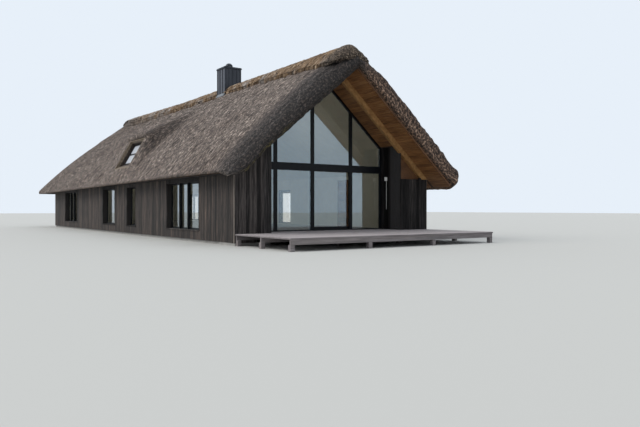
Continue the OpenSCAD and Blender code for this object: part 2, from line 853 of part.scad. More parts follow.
module deck_floor() {
    color("#8d8783")
        block([-wall_x, gable_y - deck_l, floor_z - deck_t], [wall_x, gable_y, floor_z]);
}
// The deck runs on between the return walls up to the glazing
module porch_deck() {
    color("#8d8783")
        block([-glaze_x, gable_y, floor_z - deck_t], [glaze_x, glaze_y, floor_z]);
}
joist_low = floor_z - deck_t - joist_h;
module deck_joists() {
    color("#6f6862") {
        for (y = [gable_y - deck_l + deck_in, gable_y - deck_l / 2, gable_y - joist_t - deck_in])
            block([-wall_x + deck_in, y, joist_low], [wall_x - deck_in, y + joist_t, joist_low + joist_h]);
    }
}
module deck_posts() {
    color("#6f6862")
        for (x = [-wall_x + deck_in, -wall_x / 3, wall_x / 3 - deck_post, wall_x - deck_in - deck_post])
            for (y = [gable_y - deck_l + deck_in, gable_y - deck_l / 2, gable_y - deck_in - deck_post])
                block([x, y, 0], [x + deck_post, y + deck_post, joist_low]);
}
// A small round lamp on the right return wall, with its conduit below
module wall_lamp() {
    y = gable_y + lamp_y;
    conduit_w = lamp_r / 2.5;
    color("white") {
        translate([glaze_x - lamp_r - lamp_plate, y, floor_z + lamp_z])
            cylinder(h = lamp_h, r = lamp_r, $fn = 48);
        block([glaze_x - lamp_plate, y - conduit_w / 2, floor_z + conduit_z],
            [glaze_x, y + conduit_w / 2, floor_z + lamp_z]);
        block([glaze_x - 1.5 * lamp_plate, y - lamp_r, floor_z + lamp_z],
            [glaze_x, y + lamp_r, floor_z + lamp_z + lamp_h]);
    }
}

foundation_slab();
floor_slab();
porch_piers();
near_wall();
sea_wall();
far_wall();
front_left_wall();
front_right_wall();
left_return_wall();
right_return_wall();
timber_spandrel();
inner_timber_panel();
thatch_near();
thatch_sea();
thatch_hip();
ridge_cap();
near_lining();
sea_lining();
hip_lining();
gable_beams();
near_eave_soffit();
verge_boards();
gable_frame();
upper_glass();
lower_glass();
door_track();
door_sash();
door_glass();
door_handle();
near_window_frames();
near_window_glass();
sea_window_frames();
sea_window_glass();
skylight_lining();
skylight_frame();
skylight_glass();
chimney_casing();
chimney_lid();
flue_pipe();
flue_cowl();
deck_floor();
porch_deck();
deck_joists();
deck_posts();
wall_lamp();
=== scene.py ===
# %% [markdown]
# # A thatched beach house, dressed around its CAD frame
#
# The house is long and low: dark upright boards, a hipped roof of water reed and a glazed gable
# set back under the front verge. The CAD model gives every size. This file adds what CAD can't:
# combed reed, single boards, seams in sheet metal, and the finish of each surface.
# All lengths are in metres. X runs across the gable, Y runs back from it and Z is up.

# %% Load the frame and note its size
import math

import bmesh
import bpy
import numpy as np
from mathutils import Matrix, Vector


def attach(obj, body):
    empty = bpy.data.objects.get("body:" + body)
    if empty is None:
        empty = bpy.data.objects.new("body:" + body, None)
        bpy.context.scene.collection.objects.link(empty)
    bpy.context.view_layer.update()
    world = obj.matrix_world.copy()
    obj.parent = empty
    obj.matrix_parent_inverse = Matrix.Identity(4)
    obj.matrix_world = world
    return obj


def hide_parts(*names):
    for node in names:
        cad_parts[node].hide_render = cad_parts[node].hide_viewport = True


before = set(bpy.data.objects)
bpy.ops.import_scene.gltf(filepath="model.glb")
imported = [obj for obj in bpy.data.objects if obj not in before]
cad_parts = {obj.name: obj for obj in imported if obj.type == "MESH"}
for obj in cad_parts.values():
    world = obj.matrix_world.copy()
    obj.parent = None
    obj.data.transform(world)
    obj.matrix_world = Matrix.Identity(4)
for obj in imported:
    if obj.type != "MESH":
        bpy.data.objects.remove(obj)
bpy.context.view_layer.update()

# %% [markdown]
# ## The camera
#
# A photograph's viewpoint can be found from straight edges whose real places are known. Here the
# posts and the transom of the gable and the foot of the long wall gave a camera 1.3 m above the
# ground, level, turned 34.7 degrees from the ridge. It stands well to the left of the house, so
# the long wall runs away from it. A small vertical shift puts the horizon where the photograph
# has it without tilting the camera, which keeps all uprights parallel.

# %% Set up the camera
camera_place = (-14.114, -32.694, 1.274)
camera_turn = math.radians(34.73)
camera_data = bpy.data.cameras.new("photo_camera")
camera_data.lens = 35.105
camera_data.sensor_width = 36
camera_data.shift_y = -0.00775
camera_data.clip_end = 400
camera = bpy.data.objects.new("photo_camera", camera_data)
camera.location = camera_place
camera.rotation_euler = (math.radians(90), 0, -camera_turn)
bpy.context.scene.collection.objects.link(camera)
bpy.context.scene.camera = camera
print("camera at", camera_place)

# %% [markdown]
# ## Light, floor and background
#
# The day in the photograph is bright but clouded: light comes from the whole sky, a little
# stronger from the left, so the long slope is clear and the porch lies in soft shade. A wide
# sun lamp and an even sky give that. The background is a plain pale tone, also in reflections,
# because the panes of the gable show what stands in front of them.

# %% Make the sky, the sun and the floor
scene = bpy.context.scene
scene.view_settings.view_transform = "Standard"


def build_sky(light, background):
    """An even sky: one colour lights the house, another is seen behind it and in the glass."""
    world = bpy.data.worlds.new("studio_sky")
    world.use_nodes = True
    scene.world = world
    tree = world.node_tree
    tree.nodes.clear()
    out = tree.nodes.new("ShaderNodeOutputWorld")
    pick = tree.nodes.new("ShaderNodeMixShader")
    for socket, (colour, strength) in ((1, light), (2, background)):
        glow = tree.nodes.new("ShaderNodeBackground")
        glow.inputs["Color"].default_value = colour
        glow.inputs["Strength"].default_value = strength
        tree.links.new(glow.outputs[0], pick.inputs[socket])
    path = tree.nodes.new("ShaderNodeLightPath")
    seen = path.outputs["Is Camera Ray"]
    for ray in ("Is Glossy Ray", "Is Transmission Ray"):
        either = tree.nodes.new("ShaderNodeMath")
        either.operation = "MAXIMUM"
        tree.links.new(seen, either.inputs[0])
        tree.links.new(path.outputs[ray], either.inputs[1])
        seen = either.outputs[0]
    tree.links.new(seen, pick.inputs["Fac"])
    tree.links.new(pick.outputs[0], out.inputs["Surface"])


def hang_lamp(name, kind, power):
    """A lamp, and the holder that places or turns it."""
    lamp = bpy.data.lights.new(name, kind)
    lamp.energy = power
    holder = bpy.data.objects.new(name, lamp)
    scene.collection.objects.link(holder)
    return lamp, holder


build_sky(light=((0.90, 0.95, 1.0, 1), 0.75), background=((0.80, 0.87, 0.95, 1), 1.0))
sun, sun_holder = hang_lamp("cloud_light", "SUN", 1.5)
sun.angle = math.radians(35)
sun.color = (1.0, 0.97, 0.92)
sun_holder.rotation_mode = "QUATERNION"
sun_holder.rotation_quaternion = Vector((0.80, -0.22, -0.75)).to_track_quat("-Z", "Y")
# three large soft lamps inside the rooms, which aren't seen themselves
for number, along in enumerate((-9.0, -1.0, 8.0)):
    lamp, holder = hang_lamp(f"room_light_{number}", "POINT", 22)
    lamp.shadow_soft_size = 0.8
    holder.location = (0, along, 3.2)
    holder.visible_camera = holder.visible_glossy = holder.visible_transmission = False

half = 150
floor_corners = [(-half, -half, 0), (half, -half, 0), (half, half, 0), (-half, half, 0)]
floor_mesh = bpy.data.meshes.new("studio_floor")
floor_mesh.from_pydata(floor_corners, [], [(0, 1, 2, 3)])
studio_floor = bpy.data.objects.new("studio_floor", floor_mesh)
scene.collection.objects.link(studio_floor)
floor_paint = bpy.data.materials.new("floor_paint")
floor_paint.use_nodes = True
floor_skin = floor_paint.node_tree.nodes["Principled BSDF"]
floor_skin.inputs["Base Color"].default_value = (0.60, 0.60, 0.58, 1)
floor_skin.inputs["Roughness"].default_value = 0.9
floor_mesh.materials.append(floor_paint)
print("floor", 2 * half, "m across")

# %% [markdown]
# ## The sizes that every piece shares
#
# The two long slopes and the hipped end meet over one apex line. Each slope is known by its
# pitch and by how far its underside reaches from the ridge, measured level. These values are the
# same as in the CAD source, so the reed lies exactly over the solids that it stands for.

# %% Note the sizes of the roof, the walls, the skylight and the chimney
near_pitch, sea_pitch, hip_pitch = (math.radians(a) for a in (39.7, 41.3, 53.0))
near_fall, sea_fall, hip_fall = (math.tan(a) for a in (near_pitch, sea_pitch, hip_pitch))
wall_x, porch_x = 4.45, 3.04
gable_y, glazing_y, far_y = -13.7, -12.5, 13.7
floor_z, near_eave_z = 0.40, 2.482
near_reach, sea_reach = 4.90, 4.95
verge_y, hip_y = -14.8, 15.65
reed_thick = 0.54
apex_z = near_eave_z + near_reach * near_fall
ridge_z = apex_z + reed_thick / math.cos(near_pitch)
ridge_end_y = hip_y - near_reach * near_fall / hip_fall
lining_drop = 0.0526
beam_rise = 0.230 / math.cos(near_pitch)
sky_y0, sky_y1 = -2.40, -0.16
sky_foot, sky_pitch = (4.49, 3.257), math.radians(61)
sky_high, sky_sill, sky_depth, hood_r = 1.75, 0.41, 0.28, 0.135
chimney_x, chimney_front, chimney_back = 0.43, -4.74, -3.88
chimney_y = (chimney_front + chimney_back) / 2
print("apex", round(apex_z, 3), "ridge", round(ridge_z, 3), "ridge ends at", round(ridge_end_y, 3))


def under(x):
    """Height of the reed's underside over a place across the house."""
    return apex_z + (near_fall if x < 0 else -sea_fall) * x


# %% [markdown]
# ## Finishes
#
# A finish is a small graph of nodes. Most of them here are one recipe: a noise that is stretched
# along the grain picks a tone from a ramp, a noise also lifts or lowers the surface, and a slow
# noise lets whole areas fade. A recipe class keeps that short. Boards also use the value that
# Blender gives each separate solid of a mesh, so no two boards have the same tone.

# %% Write the recipe class
class Recipe:
    """One material with short ways to add the nodes that a natural finish needs."""

    def __init__(self, name, roughness, metallic=0.0, shine=0.5):
        self.material = bpy.data.materials.new(name)
        self.material.use_nodes = True
        self.tree = self.material.node_tree
        self.skin = self.tree.nodes["Principled BSDF"]
        self.skin.inputs["Roughness"].default_value = roughness
        self.skin.inputs["Metallic"].default_value = metallic
        self.skin.inputs["Specular IOR Level"].default_value = shine

    def node(self, kind, links=(), **settings):
        """A new node. links gives its sockets a value or the output that feeds them."""
        made = self.tree.nodes.new("ShaderNode" + kind)
        for key, value in settings.items():
            setattr(made, key, value)
        for socket, source in dict(links).items():
            if isinstance(source, (int, float, tuple)):
                made.inputs[socket].default_value = source
            else:
                self.tree.links.new(source, made.inputs[socket])
        return made

    def noise(self, stretch, detail=4.0, rough=0.55, source="Object"):
        """A noise that gets long in the directions in which stretch is small."""
        start = self.node("TexCoord").outputs[source]
        place = self.node("Mapping", {"Vector": start, "Scale": stretch}).outputs[0]
        sockets = {"Vector": place, "Scale": 1.0, "Detail": detail, "Roughness": rough}
        return self.node("TexNoise", sockets).outputs["Fac"]

    def ramp(self, factor, stops):
        made = self.node("ValToRGB", {"Fac": factor})
        bar = made.color_ramp.elements
        while len(bar) < len(stops):
            bar.new(0.5)
        for element, (place, colour) in zip(bar, stops):
            element.position = place
            element.color = (*colour, 1)
        return made.outputs["Color"]

    def math(self, operation, a, b):
        clamp = operation != "ADD"
        return self.node("Math", {0: a, 1: b}, operation=operation, use_clamp=clamp).outputs[0]

    def times(self, product, *factors):
        """The product of some values from 0 to 1."""
        for factor in factors:
            product = self.math("MULTIPLY", product, factor)
        return product

    def weigh(self, *parts):
        """The sum of some values, each given with its share."""
        total, *rest = [self.times(value, share) for value, share in parts]
        for value in rest:
            total = self.math("ADD", total, value)
        return total

    def between(self, value, low, high):
        """0 where value is below low, 1 where it is over high, smooth between."""
        sockets = {"Value": value, "From Min": low, "From Max": high}
        return self.node("MapRange", sockets, interpolation_type="SMOOTHSTEP").outputs["Result"]

    def axis(self, letter):
        """The place of a point along X, Y or Z."""
        return self.node("SeparateXYZ", {0: self.node("TexCoord").outputs["Object"]}).outputs[letter]

    def facing(self, letter):
        """How far a surface faces along X, Y or Z, from -1 to 1."""
        normal = self.node("NewGeometry").outputs["Normal"]
        return self.node("SeparateXYZ", {0: normal}).outputs[letter]

    def mix(self, factor, a, b, blend="MIX"):
        a, b = ((*c, 1) if isinstance(c, tuple) else c for c in (a, b))
        return self.node("Mix", {0: factor, 6: a, 7: b}, data_type="RGBA", blend_type=blend).outputs[2]

    def tint(self, colour, where, tone):
        """The colour multiplied by a tone, as far as where says."""
        return self.mix(where, colour, tone, "MULTIPLY")

    def solid_value(self):
        """A random value from 0 to 1 for each separate solid of the mesh."""
        return self.node("NewGeometry").outputs["Random Per Island"]

    def finish(self, colour, height, depth):
        """The finished material: its colour, and a surface that rises with height by up to depth."""
        self.tree.links.new(colour, self.skin.inputs["Base Color"])
        bump = self.node("Bump", {"Height": height, "Distance": depth, "Strength": 1.0})
        self.tree.links.new(bump.outputs[0], self.skin.inputs["Normal"])
        return self.material


print("recipe ready")

# %% [markdown]
# ## The look of old reed
#
# New reed is golden. After some years sun and rain turn it grey-brown, with light stalks beside
# dark gaps, and all of it runs down the slope. The UV map of each slope is in metres, across and
# down, so a noise that is fine across and long downwards gives stalks at their real size. Near
# the front verge the cut ends of the reed face us, and a little moss grows where the verge stays
# wet. Painted shade darkens what faces the front and the rims under the eave and the verge, and
# painted light brightens the verge of the sea slope.

# %% Make the finishes of the reed
def reed_finish():
    r = Recipe("weathered_reed", 0.92)
    tufts = r.noise((7, 2.2, 1), detail=3, rough=0.6, source="UV")
    stalks = r.noise((15, 4.2, 1), detail=3, rough=0.7, source="UV")
    fine = r.noise((34, 11, 1), detail=2, rough=0.6, source="UV")
    tone = r.weigh((tufts, 0.20), (stalks, 0.50), (fine, 0.30))
    colour = r.ramp(tone, [(0.40, (0.015, 0.011, 0.009)), (0.47, (0.071, 0.055, 0.047)),
                           (0.53, (0.172, 0.136, 0.117)), (0.60, (0.60, 0.50, 0.43))])
    patches = r.noise((0.45, 0.45, 0.45), detail=4, rough=0.6)
    colour = r.tint(colour, r.between(patches, 0.35, 0.75), (0.74, 0.70, 0.68))
    # cut ends at the verge, a darker far end, and painted shade in a band along the verge
    x, y = r.axis("X"), r.axis("Y")
    lip = r.node("Attribute", attribute_name="lip").outputs["Fac"]
    butts = r.noise((17, 9, 1), detail=4, rough=0.75, source="UV")
    butt_colour = r.ramp(butts, [(0.43, (0.008, 0.006, 0.006)), (0.51, (0.033, 0.027, 0.025)),
                                 (0.61, (0.31, 0.265, 0.235))])
    verge = r.between(y, -13.05, -14.2)
    colour = r.mix(r.times(verge, 0.88), colour, butt_colour)
    colour = r.tint(colour, r.times(r.between(y, 0, 12), 0.5), (0.75, 0.74, 0.74))
    # painted shade: a darker band along the verge, which lies in the shade of the front
    band = r.times(r.between(y, -13.0, -13.8), r.between(lip, 0.75, 0.35), 0.9)
    colour = r.tint(colour, band, (0.50, 0.48, 0.49))
    # painted shade on what faces the front, less of it on the sea slope, and the sea slope's own browner tone
    sea = r.between(x, 0.0, 0.6)
    weaker = r.math("SUBTRACT", 0.9, r.times(sea, 0.36))
    # painted shade on surfaces that face the front, such as the near flank of the hood and the verge
    front_shade = r.times(r.between(r.facing("Y"), -0.06, -0.34), weaker)
    colour = r.tint(colour, front_shade, (0.36, 0.335, 0.33))
    colour = r.tint(colour, sea, (1.0, 0.86, 0.74))
    # painted light on the verge of the sea slope, which faces the light
    colour = r.tint(colour, r.times(sea, verge), (2.5, 2.3, 2.15))
    # painted shade under the rims of the eave and the verge
    colour = r.tint(colour, r.between(lip, 0.75, 1.0), (0.55, 0.50, 0.45))
    # moss at the low corner of the verge, where it is damp
    damp = r.noise((1.6, 1.6, 1.6), detail=5, rough=0.7)
    moss = r.times(r.between(lip, 0.55, 0.95), r.between(damp, 0.44, 0.60), r.between(x, -2.7, -3.3),
                   r.between(y, -14.2, -14.6), r.between(butts, 0.42, 0.56), 0.6)
    colour = r.mix(moss, colour, (0.15, 0.125, 0.040))
    return r.finish(colour, height=tone, depth=0.07)


def cap_finish():
    r = Recipe("golden_ridge_reed", 0.9)
    tufts = r.noise((7, 2.2, 1), detail=4, rough=0.65, source="UV")
    stalks = r.noise((26, 3.0, 1), detail=4, rough=0.7, source="UV")
    tone = r.weigh((tufts, 0.5), (stalks, 0.5))
    colour = r.ramp(tone, [(0.38, (0.026, 0.016, 0.010)), (0.46, (0.105, 0.064, 0.036)),
                           (0.54, (0.28, 0.180, 0.100)), (0.62, (0.62, 0.50, 0.37))])
    grey_colour = r.ramp(tone, [(0.40, (0.035, 0.029, 0.026)), (0.60, (0.50, 0.44, 0.40))])
    grey = r.noise((0.9, 0.9, 0.9), detail=5, rough=0.65)
    colour = r.mix(r.between(grey, 0.46, 0.64), colour, grey_colour)
    y = r.axis("Y")
    far_end = r.between(y, 3, 12)
    colour = r.mix(r.times(far_end, 0.75), colour, grey_colour)
    colour = r.tint(colour, far_end, (0.72, 0.71, 0.71))
    butts = r.noise((16, 16, 16), detail=4, rough=0.75)
    butt_colour = r.ramp(butts, [(0.42, (0.007, 0.005, 0.004)), (0.51, (0.031, 0.023, 0.018)),
                                 (0.62, (0.32, 0.25, 0.19))])
    colour = r.mix(r.times(r.between(y, -13.5, -14.15), 0.9), colour, butt_colour)
    return r.finish(colour, height=tone, depth=0.06)


reed = reed_finish()
ridge_reed = cap_finish()
print("finishes", reed.name, ridge_reed.name)

# %% [markdown]
# ## Making pieces from points
#
# Every piece starts as lists of points and faces. One helper turns them into an object, gives it
# its finish, rides it on its body and hides the CAD nodes that it stands for. The others make the
# faces of grids and tubes, lay the map along the reed and draw smooth random heights.

# %% Write the piece maker and the helpers of a weave
def face_outwards(mesh):
    form = bmesh.new()
    form.from_mesh(mesh)
    bmesh.ops.recalc_face_normals(form, faces=form.faces)
    form.to_mesh(mesh)
    form.free()


def make_piece(name, points, faces, finish, slot, replaces=(), smooth=False):
    mesh = bpy.data.meshes.new(name)
    mesh.from_pydata([tuple(map(float, p)) for p in points], [], [tuple(map(int, f)) for f in faces])
    face_outwards(mesh)
    mesh.materials.append(finish)
    mesh.polygons.foreach_set("use_smooth", [smooth] * len(mesh.polygons))
    made = bpy.data.objects.new(name, mesh)
    scene.collection.objects.link(made)
    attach(made, "house")
    if replaces:
        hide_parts(*replaces)
    print(name, len(mesh.polygons), "faces")
    return made


def grid_faces(columns, rows, first=0, start=0, closed=False):
    """Faces between neighbouring columns of points, from row start on; closed joins top and foot."""
    faces = []
    for a in range(first, first + (columns - 1) * rows, rows):
        for j in range(start, rows if closed else rows - 1):
            k = (j + 1) % rows
            faces.append((a + j, a + rows + j, a + rows + k, a + k))
    return faces


def tube_faces(rings, corners, first=0):
    """Faces of a tube that is made of rings, with both its ends."""
    last = first + (rings - 1) * corners
    faces = grid_faces(rings, corners, first, closed=True)
    return faces + [tuple(range(first, first + corners)), tuple(range(last + corners - 1, last - 1, -1))]


def lay_uv(mesh, uv):
    """Give each point its place on the map along the reed."""
    layer = mesh.uv_layers.new(name="along_the_reed")
    corner = np.array([loop.vertex_index for loop in mesh.loops])
    layer.data.foreach_set("uv", uv[corner].ravel())


def ease(t):
    """From 0 to 1 as t does, with soft ends."""
    return t * t * (3 - 2 * t)


def part_way(value, start, end):
    """0 up to start, 1 from end on and straight between; end may be the smaller one."""
    return np.clip((np.asarray(value, float) - start) / (end - start), 0, 1)


def run_along(line):
    """Distance from the start of a line to each of its points."""
    return np.concatenate([[0], np.cumsum(np.hypot(*np.diff(line, axis=0).T))])


def ripple(u, v, cell_u, cell_v, seed):
    """Smooth random heights from -1 to 1, with hills about one cell wide."""
    cells = 1024
    table = np.random.default_rng(seed).uniform(-1, 1, (cells, cells))
    a = np.asarray(u) / cell_u + 1000
    b = np.asarray(v) / cell_v + 1000
    i, j = np.floor(a).astype(int), np.floor(b).astype(int)
    fa, fb = ease(a - i), ease(b - j)

    def at(p, q):
        return table[p % cells, q % cells]

    low = at(i, j) * (1 - fa) + at(i + 1, j) * fa
    high = at(i, j + 1) * (1 - fa) + at(i + 1, j + 1) * fa
    return low * (1 - fb) + high * fb


# %% [markdown]
# ## The slopes of reed
#
# A thatched slope is a thick soft slab. It is fullest in the middle and thins out to the eave,
# which is cut level, so its lower edge is sharp. At the front verge it rolls over. A plain slab
# with rounded edges would miss this, so each slope is woven as a grid. Its columns run from the
# ridge down over the eave and back under it. A second band of rows wraps round the verge, and a
# fan of short columns turns the corner between the two. The three slopes meet at the hips, and
# they fit there because the steeper ones are the near slope squeezed level by the ratio of the
# pitches. Each point then moves a little along its normal: fine ridges down the slope for the
# stalks, slow waves for the hand of the thatcher, and rough lumps where the cut ends show.

# %% Describe the section of a slope and its edges
edge_in = 0.45


def near_top(d):
    """Height of the near reed over its underside, square to it, at a distance down the slope."""
    return reed_thick - 0.0215 * np.clip(np.asarray(d, float) - 2.4, 0, None) ** 2


def sea_top(d):
    """The sea slope is fuller: it swells below the ridge and keeps most of that down to its eave."""
    return 0.527 + 0.20 * ease(part_way(d, 0, 1.7)) - 0.06 * part_way(d, 0, 6.6)


def to_level(d, n, pitch):
    """Distance from the ridge measured level, and height, of a point d down a slope and n over it."""
    d, n = np.asarray(d, float), np.asarray(n, float)
    out = d * math.cos(pitch) + n * math.sin(pitch)
    return np.stack([out, apex_z - d * math.sin(pitch) + n * math.cos(pitch)], -1)


def section(top, pitch, reach, rows, rim):
    """The path from the ridge over the slope and round its eave, and the line of the underside."""
    length = reach / math.cos(pitch)
    down = np.linspace(-float(top(0)) * math.tan(pitch), length - edge_in, rows + 1)
    path = [to_level(down, np.where(down < 0, top(0), top(down)), pitch)]
    for inward, from_top, height in rim:
        base = float(top(length - inward)) if from_top else 0
        path.append([to_level(length - inward, base + height, pitch)])
    return np.concatenate(path), to_level(np.linspace(0, length - edge_in, rows + 1), 0, pitch)


# each entry of a rim: distance in from the eave, whether the height counts from the top, the height
on_top, free = True, False
near_rim = [(e, on_top, 0) for e in (0.38, 0.31, 0.24, 0.16, 0.08, 0, -0.06, -0.11)]
near_rim += [(-0.15, on_top, -0.004), (-0.18, on_top, -0.02), (-0.195, free, 0.145)]
near_rim += [(-0.165, free, 0.125), (-0.11, free, 0.085), (-0.05, free, 0.035)]
near_rim += [(e, free, 0) for e in (0, 0.2, edge_in)]
sea_rim = [(e, on_top, 0) for e in (0.38, 0.31, 0.24, 0.16)]
sea_rim += [(0.08, on_top, -0.01), (0.02, on_top, -0.03), (-0.05, free, 0.57), (-0.13, free, 0.50)]
sea_rim += [(-0.20, free, 0.43), (-0.255, free, 0.35), (-0.285, free, 0.27), (-0.30, free, 0.20)]
sea_rim += [(-0.30, free, 0.14), (-0.28, free, 0.08), (-0.21, free, 0.04)]
sea_rim += [(e, free, 0) for e in (-0.02, edge_in)]
# each entry of a roll: distance in from the verge, and the height as a share of the thickness
roll = [(e, 1) for e in (0.38, 0.31, 0.24)]
roll += [(0.178, 0.985), (0.12, 0.94), (0.07, 0.87), (0.032, 0.78), (0.008, 0.67), (0, 0.55), (0, 0.38)]
near_roll = roll + [(0, 0.20), (0.01, 0.03), (0.04, -0.13), (0.09, -0.24), (0.16, -0.26)]
near_roll += [(0.24, -0.21), (edge_in, 0)]
sea_roll = roll + [(0, 0.25), (0.008, 0.13), (0.032, 0.05), (0.07, 0.012)]
sea_roll += [(e, 0) for e in (0.11, 0.25, edge_in)]
print("eave rim", len(near_rim), "points, verge roll", len(near_roll), "points")

# %% [markdown]
# ## The hood over the skylight
#
# The skylight stands steeper than the roof, so the thatcher leads the reed out over its head in a
# thick lip and lets it sink back into the slope on both sides. This is a second section: from the
# ridge it runs flatter than the slope, turns round the lip and drops along the plane of the
# window. Every row of the plain section has its partner on the second one, so a column of the
# weave can be led from one to the other by a weight that fades along the house.

# %% Draw the section through the hood
def sky_place(up, out):
    """Level distance from the ridge and height of a place up along the window and out from it."""
    return np.array([sky_foot[0] - up * math.cos(sky_pitch) + out * math.sin(sky_pitch),
                     sky_foot[1] + up * math.sin(sky_pitch) + out * math.cos(sky_pitch)])


def hood_section(plain, rows):
    """The partner of each row of the plain section on the way over the hood and down the window."""
    start = np.array([0.88, ridge_z - 0.88 * near_fall])
    middle = sky_place(sky_high + hood_r, 0)
    way = start - middle
    touch = math.atan2(way[1], way[0]) - math.acos(hood_r / math.hypot(*way))
    turns = np.linspace(touch, -sky_pitch, 9)
    lip = [middle + hood_r * np.array([math.cos(a), math.sin(a)]) for a in turns]
    line = np.array([start, *lip, sky_place(sky_high, 0), sky_place(0, 0)])
    run = run_along(line)
    led = plain.copy()
    out, height = plain[:rows + 1].T
    part = part_way(out, start[0], sky_foot[0]) * run[-1]
    over = (out > start[0]) & (out < sky_foot[0])
    led[:rows + 1][over] = np.stack([np.interp(part, run, places) for places in line.T], -1)[over]
    below = out >= sky_foot[0]
    gap = sky_foot[1] - np.interp(sky_foot[0], out, height)
    led[:rows + 1, 1][below] += gap * part_way(out[below], sky_foot[0] + 0.4, sky_foot[0])
    return led


def hood_weight(y):
    """1 beside the skylight, fading to 0 within 1.3 m on both sides."""
    away = np.maximum(sky_y0 - 0.12 - y, y - sky_y1 - 0.12)
    return ease(part_way(away, 1.3, 0))


# %% Weave one slope of reed
def weave_slope(name, side, pitch, start, end, inner, rows, step, verge_roll, node, seed, hood=None):
    """start and end are the section at the verge and at the hip; inner is the underside's line."""
    # the slope: columns of points from the verge to the hip
    count, columns = len(start), int((hip_y - verge_y) / step)
    share = np.linspace(0, 1, columns + 1)[:, None]
    blend = ease(np.clip(share * 1.6, 0, 1))[..., None]
    out_z = start[None] * (1 - blend) + end[None] * blend
    first_y = verge_y + edge_in
    y = first_y + share * (ridge_end_y + math.tan(pitch) / hip_fall * out_z[..., 0] - first_y)
    if hood is not None:
        out_z = out_z + hood_weight(y)[..., None] * (hood - start)[None]
    path = run_along(start)
    points = [np.stack([side * out_z[..., 0], y, out_z[..., 1]], -1).reshape(-1, 3)]
    uv = [np.stack(np.broadcast_arrays(y, path), -1).reshape(-1, 2)]
    loose = np.ones(y.shape)
    loose[:, 0] = loose[-1] = loose[:, -1] = 0
    lip = np.broadcast_to(part_way(np.arange(count), rows + 3, rows + 9), y.shape)
    faces = grid_faces(columns + 1, count)
    underside = [i * count + count - 1 for i in range(columns + 1)]
    ridge_side = [i * count for i in range(columns, -1, -1)]
    mitre = [columns * count + r for r in range(count)]

    # the band that rolls over the verge, and a fan of short columns round its lower corner
    ins, shares = np.array(verge_roll).T
    k, back = len(ins), (columns + 1) * count
    up = np.array([math.sin(pitch), math.cos(pitch)])
    band = inner[:, None] + (start[:rows + 1] - inner)[:, None] * np.clip(shares, 0, 1)[None, :, None]
    band = band + reed_thick * np.clip(shares, None, 0)[None, :, None] * up
    band_y = np.broadcast_to(verge_y + ins, band.shape[:2])
    pivot, eave = band[-1], start[rows + 1:]
    fan, fan_y = [], []
    for angle in np.radians(np.arange(10, 90, 10)):
        part = angle / math.radians(90)
        far = (edge_in - ins) * (1 - part) + (eave[:, 0] - pivot[:, 0]) * part
        far = far * (1 + 0.22 * math.sin(2 * angle) ** 2)
        height = pivot[:, 1] * (1 - part) + eave[:, 1] * part
        fan.append(np.stack([pivot[:, 0] + far * math.sin(angle), height], -1))
        fan_y.append(first_y - far * math.cos(angle))
    band, band_y = np.concatenate([band, fan]), np.concatenate([band_y, fan_y])
    stations = len(band) - 1
    points.append(np.stack([side * band[..., 0], band_y, band[..., 1]], -1).reshape(-1, 3))
    round_run = run_along(np.stack([ins, 0.5 * shares], -1))
    band_path = np.concatenate([path[:rows + 1], path[rows] + 0.06 * np.arange(1, stations - rows + 1)])
    band_uv = np.broadcast_arrays(first_y - 0.07 - round_run, band_path[:, None])
    uv.append(np.stack(band_uv, -1).reshape(-1, 2))
    band_loose = np.ones(band_y.shape)
    band_loose[0] = band_loose[:, -1] = 0
    band_lip = np.broadcast_to(np.clip(1 - shares, 0, 1), band_y.shape)

    def at(s, q):
        """The number of point q across the band at station s; 0 is on the slope's first column."""
        if s > stations:
            return rows + q
        return min(s, rows) if q == 0 else back + s * k + q - 1

    for s in range(stations + 1):
        for q in range(k):
            faces.append(tuple(dict.fromkeys([at(s, q), at(s + 1, q), at(s + 1, q + 1), at(s, q + 1)])))
    underside = [at(s, k) for s in range(stations + 1)] + underside
    ridge_side += [at(0, q) for q in range(1, k + 1)]
    back += (stations + 1) * k
    points.append([(0, ridge_end_y, apex_z)])
    faces += [tuple(line + [back]) for line in (ridge_side, mitre, underside)]
    made = make_piece(name, np.concatenate(points), faces, reed, "thatch", replaces=(node,), smooth=True)
    comb_reed(made, np.concatenate(uv + [[(0, 0)]]), np.concatenate([lip.ravel(), band_lip.ravel(), [0]]),
              np.concatenate([loose.ravel(), band_loose.ravel(), [0]]), seed)
    return made


def weave_hip(name, near_section, rows, step, node, seed):
    """The hipped end: the near section, squeezed level, led from one hip line to the other."""
    out = near_section[:, 0] * near_fall / hip_fall
    count, columns = len(out), int(2 * near_reach / step)
    share = np.linspace(0, 1, columns + 1)[:, None]
    left, right = -near_section[:, 0], out * hip_fall / sea_fall
    x = left + share * (right - left)
    grid = np.stack(np.broadcast_arrays(x, ridge_end_y + out, near_section[:, 1]), -1)
    path = run_along(np.stack([out, near_section[:, 1]], -1))
    uv = np.stack(np.broadcast_arrays(x, path), -1).reshape(-1, 2)
    loose = np.ones(x.shape)
    loose[:, 0] = loose[:, -1] = loose[0] = loose[-1] = 0
    lip = np.broadcast_to(part_way(np.arange(count), rows + 3, rows + 9), x.shape)
    back, last = x.size, columns * count
    faces = grid_faces(columns + 1, count, start=1)
    faces += [(0, (i + 1) * count + 1, i * count + 1) for i in range(columns)]
    faces += [tuple([*range(count), back]), tuple([0, *range(last + 1, last + count), back])]
    faces += [tuple([*range(count - 1, last + count, count), back])]
    points = np.concatenate([grid.reshape(-1, 3), [(0, ridge_end_y, apex_z)]])
    made = make_piece(name, points, faces, reed, "thatch", replaces=(node,), smooth=True)
    comb_reed(made, np.concatenate([uv, [(0, 0)]]), np.append(lip, 0), np.append(loose, 0), seed)
    return made


